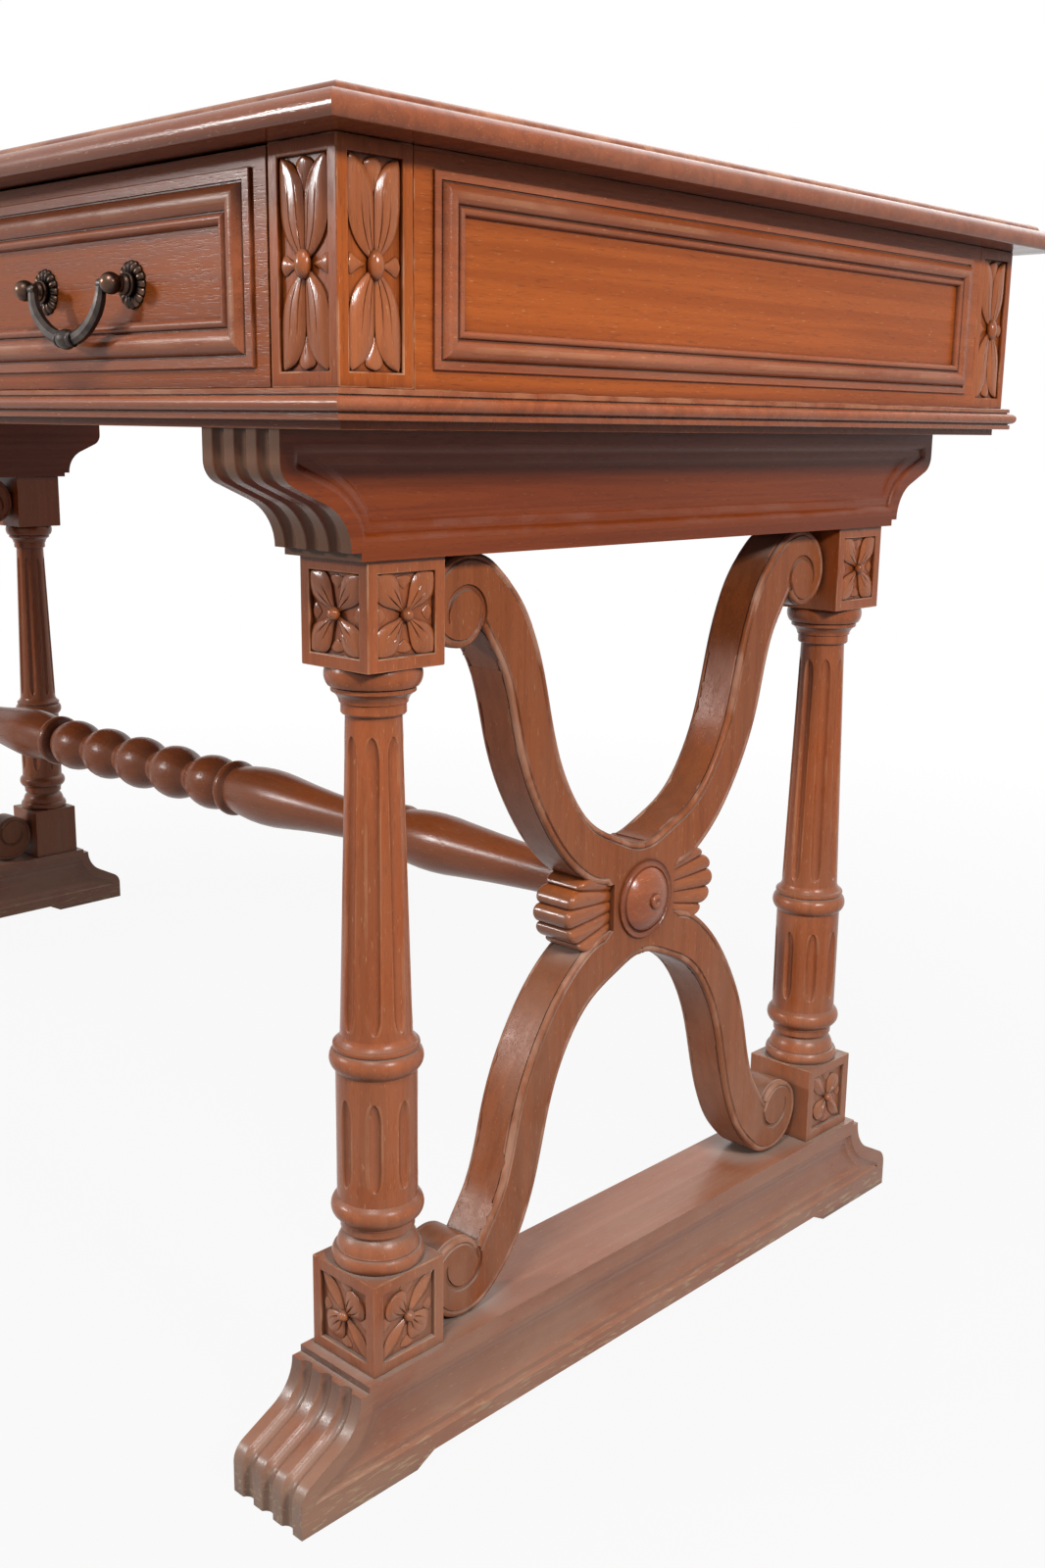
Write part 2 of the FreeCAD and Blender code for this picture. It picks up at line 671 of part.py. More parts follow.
def end_flute_cutters(height, lip):
    """Rods bent along the ogee that cut the flutes in both ends of a rail."""
    half_width = END_FLUTE_WIDTH / 2
    radius = (half_width**2 + END_FLUTE_DEPTH**2) / (2 * END_FLUTE_DEPTH)
    outwards = radius - END_FLUTE_DEPTH
    half = rail_half
    shoulder = height - RAIL_FILLET_HEIGHT
    rise = shoulder - lip
    steps = ogee_steps(half, shoulder, lip, OGEE_HOLLOW_SHARE * rise, OGEE_NOSE_SHARE * rise, -outwards)
    start = steps[0][0] + Vector(0, 0, radius)
    spine = Part.Wire(path(start, *steps, (Vector(0, half + outwards, -radius),)))
    ring = Part.Wire(Part.Circle(start, Z_AXIS, radius).toShape())
    cutter = spine.makePipeShell([ring], True, False)
    pitch = (RAIL_THICKNESS + END_FLUTE_WIDTH) / (END_FLUTES + 1)
    cutters = []
    for number in range(END_FLUTES):
        copy = cutter.copy()
        copy.translate(Vector((number - (END_FLUTES - 1) / 2) * pitch, 0, 0))
        cutters += [copy, mirrored_y(copy)]
    return cutters


def side_recess(height, lip, lip_border):
    """The cutter for a sunk panel in a rail's +X side: a wide shallow step, and a field sunk deeper."""
    cutters = []
    for extra, depth in ((0, RECESS_DEPTH / 2), (RECESS_SPLAY, RECESS_DEPTH)):
        x = (RAIL_THICKNESS / 2 - depth, RAIL_THICKNESS / 2)
        inside = rail_solid(height, lip, RECESS_END_BORDER + extra, x)
        band = block(
            (0, RAIL_THICKNESS),
            (-rail_half, rail_half),
            (lip_border + extra, height - RECESS_NECK_BORDER - extra),
        )
        cutters.append(inside.common(band))
    return cutters


def mortises(depth_from, depth_to):
    """Square tenon shapes for both columns, between two heights."""
    half = TENON_SIZE / 2
    return [
        block((-half, half), (y - half, y + half), (depth_from, depth_to))
        for y in (-column_y, column_y)
    ]


def trestle_rail(height, lip, lip_border, sunk_sides):
    """A foot, or a bearer upside down, at X = 0: outline, flutes, sunk side panels and mortises."""
    solid = rail_solid(height, lip, 0, (-RAIL_THICKNESS / 2, RAIL_THICKNESS / 2))
    cutters = end_flute_cutters(height, lip)
    recess = side_recess(height, lip, lip_border)
    if 1 in sunk_sides:
        cutters += recess
    if -1 in sunk_sides:
        cutters += [mirrored_x(cutter) for cutter in recess]
    cutters += mortises(height - TENON_LENGTH, height)
    return solid.cut(cutters)


def right_foot():
    """The right trestle's foot, relieved underneath between its end pads."""
    foot = trestle_rail(FOOT_HEIGHT, FOOT_LIP, FOOT_RECESS_LIP_BORDER, (1, -1))
    inner = rail_half - FOOT_PAD_LENGTH
    slope = 2 * FOOT_RELIEF
    relief = closed_face(
        Vector(-RAIL_THICKNESS, -inner, 0),
        (Vector(-RAIL_THICKNESS, -inner + slope, FOOT_RELIEF),),
        (Vector(-RAIL_THICKNESS, inner - slope, FOOT_RELIEF),),
        (Vector(-RAIL_THICKNESS, inner, 0),),
    ).extrude(Vector(2 * RAIL_THICKNESS, 0, 0))
    foot = foot.cut(relief)
    foot.translate(Vector(trestle_x, 0, 0))
    return foot


def bearer_screw(y):
    """A countersunk screw up through the right bearer into the bottom board."""
    tip = bearer_top + SCREW_BITE
    head = tip - SCREW_LENGTH
    screw = turned(
        ((SCREW_HEAD_RADIUS, 0),),
        ((SCREW_HEAD_RADIUS, SCREW_HEAD_HEIGHT),),
        ((SCREW_RADIUS, SCREW_HEAD_HEIGHT),),
        ((SCREW_RADIUS, SCREW_LENGTH),),
    )
    screw.translate(Vector(trestle_x, y, head))
    return screw


def right_bearer():
    """The right trestle's bearer: sunk panel on its outer side, counterbored from below for its screws."""
    bearer = trestle_rail(BEARER_HEIGHT, BEARER_LIP, BEARER_RECESS_LIP_BORDER, (1,))
    bearer = bearer.mirror(ORIGIN, Z_AXIS)
    bearer.translate(Vector(trestle_x, 0, bearer_top))
    seat = bearer_top + SCREW_BITE - SCREW_LENGTH + SCREW_HEAD_HEIGHT
    holes = []
    for y in bearer_screw_places():
        low = Vector(trestle_x, y, bearer_bottom)
        holes.append(rod(SCREW_RADIUS, low, Vector(trestle_x, y, bearer_top)))
        holes.append(rod(SCREW_HEAD_RADIUS + SCREW_ROOM, low, Vector(trestle_x, y, seat)))
    return bearer.cut(holes)


# Columns

def column_turning():
    """The turned part between the two blocks, from the lower block's top."""
    top = turned_length
    low_ring = 34.5
    drum_low = low_ring + 7.5
    drum_high = drum_low + DRUM_HEIGHT
    high_ring = drum_high + 13.0
    shaft_low = high_ring + 14.5
    cap = top - 27.0
    profile = (
        ((RING_RADIUS - 1.2, 0),),
        ((RING_RADIUS, 4.0), (RING_RADIUS - 1.5, 8.0)),
        ((RING_RADIUS - 2.8, 9.0),),
        ((DRUM_RADIUS - 0.6, 13.5), (DRUM_RADIUS - 4.0, 18.5)),
        ((DRUM_RADIUS - 4.0, 20.5),),
        ((DRUM_RADIUS - 1.8, 21.5),),
        ((DRUM_RADIUS - 1.8, 25.5),),
        ((DRUM_RADIUS + 0.4, low_ring - 6.0),),
        ((RING_RADIUS, low_ring), (DRUM_RADIUS + 0.4, low_ring + 6.0)),
        ((DRUM_RADIUS, drum_low),),
        ((DRUM_RADIUS, drum_high),),
        ((DRUM_RADIUS + 0.8, high_ring - 6.5),),
        ((RING_RADIUS, high_ring), (DRUM_RADIUS + 0.9, high_ring + 5.5)),
        ((DRUM_RADIUS + 0.6, high_ring + 8.0), (SHAFT_BOTTOM_RADIUS + 1.0, shaft_low - 2.0)),
        ((SHAFT_BOTTOM_RADIUS, shaft_low),),
        ((SHAFT_TOP_RADIUS, cap),),
        ((SHAFT_TOP_RADIUS + 2.5, cap + 2.5),),
        ((SHAFT_TOP_RADIUS + 3.4, cap + 8.0),),
        ((SHAFT_TOP_RADIUS + 5.0, cap + 10.0), (SHAFT_TOP_RADIUS + 7.6, cap + 13.0)),
        ((SHAFT_TOP_RADIUS + 7.8, cap + 15.5),),
        ((RING_RADIUS - 2.2, cap + 16.0),),
        ((RING_RADIUS - 0.3, cap + 21.5), (RING_RADIUS - 1.2, top)),
    )
    drum = (drum_low + DRUM_FLUTE_MARGIN, drum_high - DRUM_FLUTE_MARGIN)
    shaft = (shaft_low + SHAFT_FLUTE_MARGIN_LOW, cap - SHAFT_FLUTE_MARGIN_HIGH)
    taper = (SHAFT_TOP_RADIUS - SHAFT_BOTTOM_RADIUS) / (cap - shaft_low)
    shaft_radii = [SHAFT_BOTTOM_RADIUS + taper * (height - shaft_low) for height in shaft]
    cutters = flute_ring(drum, (DRUM_RADIUS, DRUM_RADIUS)) + flute_ring(shaft, shaft_radii)
    return turned(*profile).cut(cutters)


def flute_ring(heights, radii):
    """Pencil-shaped cutters round a shaft, between two heights where it has the two radii."""
    half_width = COLUMN_FLUTE_WIDTH / 2
    radius = (half_width**2 + COLUMN_FLUTE_DEPTH**2) / (2 * COLUMN_FLUTE_DEPTH)
    outwards = radius - COLUMN_FLUTE_DEPTH
    length = heights[1] - heights[0]
    tip = outwards * 0.8
    pencil = turned(
        ((tip, 0),),
        ((radius, FLUTE_TIP),),
        ((radius, length - FLUTE_TIP),),
        ((tip, length),),
    )
    lean = math.degrees(math.atan2(radii[1] - radii[0], length))
    pencil.rotate(ORIGIN, Y_AXIS, lean)
    pencil.translate(Vector(radii[0] + outwards, 0, heights[0]))
    cutters = []
    for number in range(COLUMN_FLUTES):
        copy = pencil.copy()
        copy.rotate(ORIGIN, Z_AXIS, 360 * number / COLUMN_FLUTES)
        cutters.append(copy)
    return cutters


def column_block(low, height):
    """A square block with sunk panels on its outward faces, +X and -Y."""
    half = BLOCK_SIZE / 2
    inner = half - BLOCK_PANEL_MARGIN
    z = (low + BLOCK_PANEL_MARGIN, low + height - BLOCK_PANEL_MARGIN)
    solid = block((-half, half), (-half, half), (low, low + height))
    outer_panel = block((half - BLOCK_PANEL_DEPTH, half), (-inner, inner), z)
    front_panel = block((-inner, inner), (-half, -half + BLOCK_PANEL_DEPTH), z)
    return solid.cut([outer_panel, front_panel])


def right_front_column():
    """One turned leg: block, fluted turning, block, and a tenon at each end."""
    half = TENON_SIZE / 2
    turning = column_turning()
    turning.translate(Vector(0, 0, LOWER_BLOCK_HEIGHT))
    tenons = [
        block((-half, half), (-half, half), z)
        for z in ((-TENON_LENGTH, 0), (COLUMN_HEIGHT, COLUMN_HEIGHT + TENON_LENGTH))
    ]
    upper = column_block(COLUMN_HEIGHT - UPPER_BLOCK_HEIGHT, UPPER_BLOCK_HEIGHT)
    column = column_block(0, LOWER_BLOCK_HEIGHT).multiFuse([turning, upper] + tenons)
    column.translate(Vector(trestle_x, -column_y, FOOT_HEIGHT))
    return column


# Scroll X

def arm_point(shares):
    """A point of an arm's edge from its shares of the half width and half height."""
    return Vector(0, shares[0] * scroll_half_width, shares[1] * scroll_half_height)


def smooth_edge(points, start_direction, end_direction):
    """A smooth curve through points with given directions at its ends."""
    curve = Part.BSplineCurve()
    curve.interpolate(Points=points, InitialTangent=start_direction, FinalTangent=end_direction)
    return curve.toShape()


def upper_arm_edges():
    """The outline of one upper arm at y > 0, from the crotch over the volute to the notch, about the crossing."""
    side = scroll_half_width
    top = scroll_half_height
    crown_centre = Vector(0, side - VOLUTE_TOP_RADIUS, top - CROWN_RADIUS)
    top_centre = Vector(0, side - VOLUTE_TOP_RADIUS, top - VOLUTE_TOP_RADIUS)
    lower_centre = Vector(0, side - VOLUTE_LOWER_RADIUS, top_centre.z)
    inner_centre = lower_centre + Vector(0, 0, VOLUTE_INNER_RADIUS - VOLUTE_LOWER_RADIUS)
    turn_end = 270 - VOLUTE_INNER_TURN
    crown_start = point_on(crown_centre, CROWN_RADIUS, 90 + CROWN_TURN)
    crown = point_on(crown_centre, CROWN_RADIUS, 90)
    flank = point_on(top_centre, VOLUTE_TOP_RADIUS, 0)
    under = point_on(lower_centre, VOLUTE_LOWER_RADIUS, 270)
    crease = point_on(inner_centre, VOLUTE_INNER_RADIUS, turn_end)
    crotch = Vector(0, 0, CROSSING_HALF_HEIGHT)
    notch = Vector(0, NOTCH_DEPTH, NOTCH_HALF_HEIGHT)
    inner = [crotch] + [arm_point(shares) for shares in ARM_INNER_SHARES] + [crown_start]
    outer = [notch] + [arm_point(shares) for shares in ARM_OUTER_SHARES] + [crease]
    volute = path(
        crown_start,
        (point_on(crown_centre, CROWN_RADIUS, 90 + CROWN_TURN / 2), crown),
        (point_on(top_centre, VOLUTE_TOP_RADIUS, 45), flank),
        (point_on(lower_centre, VOLUTE_LOWER_RADIUS, 315), under),
        (point_on(inner_centre, VOLUTE_INNER_RADIUS, (270 + turn_end) / 2), crease),
    )
    crown_direction = point_on(ORIGIN, 1, CROWN_TURN)
    notch_direction = Vector(0, 1, 0.1)
    crease_direction = Vector(0, 0.55, 0.84)
    inner_edge = smooth_edge(inner, Y_AXIS, crown_direction)
    outer_edge = smooth_edge(outer, notch_direction, crease_direction)
    return [inner_edge, *volute, outer_edge]


def right_back_scroll():
    """One half of the X: an upper and a lower arm, bored for the stretcher at the crossing."""
    arm = upper_arm_edges()
    lower = [edge.mirror(ORIGIN, Z_AXIS) for edge in arm]
    joint = path(Vector(0, 0, CROSSING_HALF_HEIGHT), (Vector(0, 0, -CROSSING_HALF_HEIGHT),))
    notch = path(Vector(0, NOTCH_DEPTH, NOTCH_HALF_HEIGHT), (Vector(0, NOTCH_DEPTH, -NOTCH_HALF_HEIGHT),))
    outline = Part.Wire(Part.sortEdges(arm + lower + joint + notch)[0])
    solid = Part.Face(outline).extrude(Vector(SCROLL_THICKNESS, 0, 0))
    solid.translate(Vector(scroll_inner_x, 0, crossing_z))
    return solid.cut(stretcher_bores())


def stretcher_bores():
    """Through the right crossing: the tenon's bore, the screw's hole and the counterbore for its head."""
    inner = Vector(scroll_inner_x, 0, crossing_z)
    outer = Vector(scroll_outer_x, 0, crossing_z)
    tenon = rod(STRETCHER_TENON_RADIUS, inner, inner + Vector(STRETCHER_TENON_LENGTH, 0, 0))
    hole = rod(STRETCHER_SCREW_RADIUS, inner, outer)
    seat = outer - Vector(SCREW_HEAD_HEIGHT, 0, 0)
    head = rod(STRETCHER_SCREW_HEAD_RADIUS, seat, outer)
    return [tenon, hole, head]


def right_shells(scrolls):
    """Lobed blocks let into the two notches of the right X."""
    fan_centre = Vector(0, -SHELL_FAN_SETBACK, 0)

    def rim(number, drop):
        radius = SHELL_FAN_SETBACK + SHELL_REACH - SHELL_LOBE_FALL * number**2 - drop
        return point_on(fan_centre, radius, SHELL_LOBE_ANGLE * number)

    half = SHELL_LOBES / 2
    valleys = [rim(number - half, SHELL_VALLEY_DEPTH) for number in range(SHELL_LOBES + 1)]
    crowns = [rim(number - half + 0.5, 0) for number in range(SHELL_LOBES)]
    root = Vector(0, NOTCH_DEPTH, -NOTCH_HALF_HEIGHT)
    root_end = Vector(0, NOTCH_DEPTH, NOTCH_HALF_HEIGHT)
    fan = closed_face(root, (valleys[0],), *zip(crowns, valleys[1:]), (root_end,))
    shell = fan.extrude(Vector(SCROLL_THICKNESS, 0, 0))
    shell.translate(Vector(scroll_inner_x, 0, crossing_z))
    shell = shell.cut(scrolls)
    return [shell, mirrored_y(shell)]


def dome(radius, low, high):
    """The middle and the end of a round cap from a radius at one height up to the axis at another."""
    rise = high - low
    curve = (radius**2 + rise**2) / (2 * rise)
    half_angle = math.atan2(radius, curve - rise) / 2
    return ((curve * math.sin(half_angle), high - curve + curve * math.cos(half_angle)), (0, high))


def right_boss():
    """The turned roundel that covers the crossing's outer face."""
    ring_inner = BOSS_RADIUS - BOSS_RING_WIDTH
    ring_low = BOSS_RING_HEIGHT * 0.4
    boss = turned(
        ((BOSS_RADIUS, 0),),
        ((BOSS_RADIUS, ring_low),),
        ((BOSS_RADIUS - BOSS_RING_WIDTH / 2, BOSS_RING_HEIGHT), (ring_inner, ring_low)),
        ((ring_inner * 0.62, BOSS_DOME_HEIGHT * 0.8), (BOSS_KNOB_RADIUS, BOSS_DOME_HEIGHT)),
        dome(BOSS_KNOB_RADIUS, BOSS_DOME_HEIGHT, BOSS_KNOB_HEIGHT),
    )
    boss.rotate(ORIGIN, Y_AXIS, 90)
    boss.translate(Vector(scroll_outer_x, 0, crossing_z))
    return boss


# Stretcher

def stretcher():
    """The turned rail between the crossings: bobbins, rings, and two vases each side of the middle."""
    last_ball = BOBBINS_EACH_SIDE * BOBBIN_PITCH
    ring_low = last_ball + BOBBIN_PITCH / 2
    ring_high = ring_low + STRETCHER_RING_WIDTH
    collar_low = collar_place - COLLAR_WIDTH / 2
    collar_high = collar_place + COLLAR_WIDTH / 2
    vase = collar_low - ring_high
    outer_vase = scroll_inner_x - collar_high
    tenon_end = scroll_inner_x + STRETCHER_TENON_LENGTH
    profile = [((BOBBIN_RADIUS, 0),)]
    for number in range(BOBBINS_EACH_SIDE + 1):
        middle = number * BOBBIN_PITCH
        neck = middle + BOBBIN_PITCH / 2
        if number:
            profile.append(((BOBBIN_RADIUS * 0.9, middle - BOBBIN_PITCH * 0.24), (BOBBIN_RADIUS, middle)))
        profile.append(((BOBBIN_RADIUS * 0.9, middle + BOBBIN_PITCH * 0.24), (BOBBIN_NECK_RADIUS, neck - 2.0)))
        if number < BOBBINS_EACH_SIDE:
            profile.append(((BOBBIN_NECK_RADIUS, neck + 2.0),))
    profile += [
        ((STRETCHER_RING_RADIUS - 2.0, ring_low),),
        ((STRETCHER_RING_RADIUS, (ring_low + ring_high) / 2), (STRETCHER_RING_RADIUS - 2.0, ring_high)),
        ((STRETCHER_RING_RADIUS - 4.0, ring_high + 2.0),),
        ((VASE_RADIUS, ring_high + 0.18 * vase), (VASE_RADIUS - 1.6, ring_high + 0.34 * vase)),
        ((VASE_NECK_RADIUS + 2.2, ring_high + 0.66 * vase), (VASE_NECK_RADIUS, collar_low)),
        ((COLLAR_RADIUS - 2.0, collar_low + 1.0),),
        ((COLLAR_RADIUS, collar_place), (COLLAR_RADIUS - 2.0, collar_high)),
        ((OUTER_VASE_RADIUS - 2.6, collar_high + 2.0),),
        ((OUTER_VASE_RADIUS, collar_high + 0.16 * outer_vase), (OUTER_VASE_RADIUS - 1.6, collar_high + 0.3 * outer_vase)),
        ((STRETCHER_END_RADIUS + 2.4, collar_high + 0.68 * outer_vase), (STRETCHER_END_RADIUS, scroll_inner_x)),
        ((STRETCHER_TENON_RADIUS, scroll_inner_x),),
        ((STRETCHER_TENON_RADIUS, tenon_end),),
    ]
    half = turned(*profile)
    half.rotate(ORIGIN, Y_AXIS, 90)
    half.translate(Vector(0, 0, crossing_z))
    tip = Vector(tenon_end - STRETCHER_SCREW_BITE, 0, crossing_z)
    half = half.cut(rod(STRETCHER_SCREW_RADIUS, tip, Vector(tenon_end, 0, crossing_z)))
    return half.fuse(mirrored_x(half)).removeSplitter()


def right_stretcher_screw():
    """The screw under the right boss that draws the stretcher's tenon home."""
    tip = scroll_inner_x + STRETCHER_TENON_LENGTH - STRETCHER_SCREW_BITE
    seat = scroll_outer_x - SCREW_HEAD_HEIGHT
    shank = rod(STRETCHER_SCREW_RADIUS, Vector(tip, 0, crossing_z), Vector(seat, 0, crossing_z))
    head = rod(STRETCHER_SCREW_HEAD_RADIUS, Vector(seat, 0, crossing_z), Vector(scroll_outer_x, 0, crossing_z))
    return shank.fuse(head)


# All nodes by name

def trestle_nodes():
    """Both trestles: the right one is built, and the left one is its mirror image."""
    back_scroll = right_back_scroll()
    front_scroll = mirrored_y(back_scroll)
    front_column = right_front_column()
    right = {
        "foot": right_foot(),
        "bearer": right_bearer(),
        "front_column": front_column,
        "back_column": mirrored_y(front_column),
        "front_scroll": front_scroll,
        "back_scroll": back_scroll,
    }
    made = {}
    for name, shape in right.items():
        made["right_" + name] = [shape]
        made["left_" + name] = [mirrored_x(shape)]
    shells = right_shells([front_scroll, back_scroll])
    made["crossing_shells"] = shells + [mirrored_x(shell) for shell in shells]
    boss = right_boss()
    made["crossing_bosses"] = [boss, mirrored_x(boss)]
    screw = right_stretcher_screw()
    made["stretcher_screws"] = [screw, mirrored_x(screw)]
    screws = [bearer_screw(y) for y in bearer_screw_places()]
    made["bearer_screws"] = screws + [mirrored_x(one) for one in screws]
    made["stretcher"] = [stretcher()]
    return made


def case_nodes():
    """The drawer case and the top."""
    mouldings = end_panel_moulding()
    panel = end_panel()
    return {
        "bottom_board": [bottom_board()],
        "base_moulding": base_moulding(),
        "corner_posts": four_corners(corner_post()),
        "end_panels": [panel, mirrored_x(panel)],
        "end_panel_mouldings": mouldings + [mirrored_x(length) for length in mouldings],
        "drawer_dividers": four_corners(drawer_divider()),
        "cross_partitions": four_corners(cross_partition()),
        "centre_partition": [centre_partition()],
        "drawer_guides": [copy for guide in drawer_guides() for copy in four_corners(guide)],
        "top_glue_blocks": glue_blocks(),
        "top_board": [top_board()],
        "top_edge_moulding": top_edge_moulding(),
    }


def drawer_nodes():
    """Six drawers with their handles: three at the front, and their mirror images at the back."""
    openings = {
        "left": (-post_inner_x, -divider_outer_x),
        "centre": (-divider_inner_x, divider_inner_x),
        "right": (divider_outer_x, post_inner_x),
    }
    made = {}
    for place, x in openings.items():
        middle = (x[0] + x[1]) / 2
        pieces = {
            "drawer_front": [drawer_front(x)],
            "drawer_box": drawer_box(x),
            "drawer_moulding": drawer_moulding(x),
            "handle_posts": handle_posts(middle),
            "bail": [bail(middle)],
        }
        for name, solids in pieces.items():
            made[f"front_{place}_{name}"] = solids
            made[f"back_{place}_{name}"] = [mirrored_y(solid) for solid in solids]
    return made


def main():
    """Writes one file for each node and prints its volume."""
    os.makedirs("parts", exist_ok=True)
    nodes = {**trestle_nodes(), **case_nodes(), **drawer_nodes()}
    for name, shapes in nodes.items():
        solids = [solid for shape in shapes for solid in shape.Solids]
        whole = solids[0] if len(solids) == 1 else Part.makeCompound(solids)
        whole.exportStep(f"parts/{name}.step")
        print(f"{name}: {len(solids)} solid(s), {whole.Volume / 1000:.1f} cm3, valid {whole.isValid()}")


main()
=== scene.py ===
"""A carved mahogany writing desk with drawers on both long sides, in a plain white studio."""

import cmath
import logging
import math
from dataclasses import dataclass, field, replace
from enum import Enum
from typing import Any, Callable, Iterable, Optional

import bmesh
import bpy
from bmesh.types import BMEdge, BMesh, BMFace, BMVert
from bpy.types import Material, Node, NodeSocket, NodeTree
from mathutils import Matrix, Vector

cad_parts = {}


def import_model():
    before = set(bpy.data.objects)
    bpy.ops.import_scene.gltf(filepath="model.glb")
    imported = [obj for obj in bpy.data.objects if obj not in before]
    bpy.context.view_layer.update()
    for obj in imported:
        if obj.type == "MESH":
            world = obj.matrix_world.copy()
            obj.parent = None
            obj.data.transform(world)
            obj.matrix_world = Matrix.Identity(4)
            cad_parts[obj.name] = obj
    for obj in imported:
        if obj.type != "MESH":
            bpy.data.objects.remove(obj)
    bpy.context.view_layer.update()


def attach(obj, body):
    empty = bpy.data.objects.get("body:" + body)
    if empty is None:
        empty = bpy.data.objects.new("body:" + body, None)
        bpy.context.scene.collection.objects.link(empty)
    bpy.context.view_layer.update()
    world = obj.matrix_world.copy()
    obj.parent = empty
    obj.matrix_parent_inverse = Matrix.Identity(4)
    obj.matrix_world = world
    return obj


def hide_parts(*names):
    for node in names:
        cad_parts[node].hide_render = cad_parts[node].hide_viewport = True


Pairs = tuple[tuple[float, float], ...]
Triple = tuple[float, float, float]

LOG = logging.getLogger("desk")
MM = 0.001
# Places that several sub-assemblies share, in millimetres.
TRESTLE_X = 574.0
CROSSING_Z = 308.7
SCROLL_HALF = 16.0
PANEL_Z = 683.5
FRIEZE_Y = 312.5
# Edges of carved and cast pieces that turn by more degrees than this stay sharp to the eye.
CARVED_CREASE = 40.0
# Faces of a planted moulding that lie higher than this are worn, in millimetres.
PLANTED_WORN_FROM = 4.4


class Grain(Enum):
    """The way the fibres of a board run, as an axis of the desk."""

    LENGTHWISE = 0
    CROSSWISE = 1
    UPRIGHT = 2


class Slot(Enum):
    """Material slots of the record."""

    MAHOGANY = "mahogany"
    DRAWER_WOOD = "drawer_wood"
    BRONZE = "bronze"
    STEEL = "steel"


def linear(hex_colour: str) -> tuple[float, float, float, float]:
    """Turns an sRGB hex colour to linear light.

    Args:
        hex_colour: Six hex digits after a hash sign.

    Returns:
        Red, green, blue and an alpha of 1.
    """
    parts = [int(hex_colour[i:i + 2], 16) / 255 for i in (1, 3, 5)]
    light = [c / 12.92 if c <= 0.04045 else ((c + 0.055) / 1.055) ** 2.4 for c in parts]
    return (light[0], light[1], light[2], 1.0)


def add_node(tree: NodeTree, kind: str, values: Optional[dict] = None,
             links: Optional[dict] = None, **settings: Any) -> Node:
    """Adds a shader node with its settings, fixed inputs and links.

    Args:
        tree: The node tree of a material or world.
        kind: The node's type name after "ShaderNode".
        values: Input name or number to a fixed value.
        links: Input name or number to the socket that feeds it.
        **settings: Properties of the node itself.

    Returns:
        The new node.
    """
    node = tree.nodes.new("ShaderNode" + kind)
    for key, value in settings.items():
        setattr(node, key, value)
    for key, value in (values or {}).items():
        node.inputs[key].default_value = value
    for key, socket in (links or {}).items():
        tree.links.new(socket, node.inputs[key])
    return node


def fresh_material(name: str) -> Material:
    """Makes an empty node material of that name."""
    material = bpy.data.materials.new(name)
    material.use_nodes = True
    material.node_tree.nodes.clear()
    return material


def stretch(grain: Grain, length_mm: float, width_mm: float) -> Vector:
    """Gives the scale of a pattern that has this length along the grain and this width across it."""
    scale = Vector((1, 1, 1)) / (width_mm * MM)
    scale[grain.value] = 1 / (length_mm * MM)
    return scale


# Numbers of the colour sockets of a Mix node.
MIX_A, MIX_B, MIX_OUT = 6, 7, 2


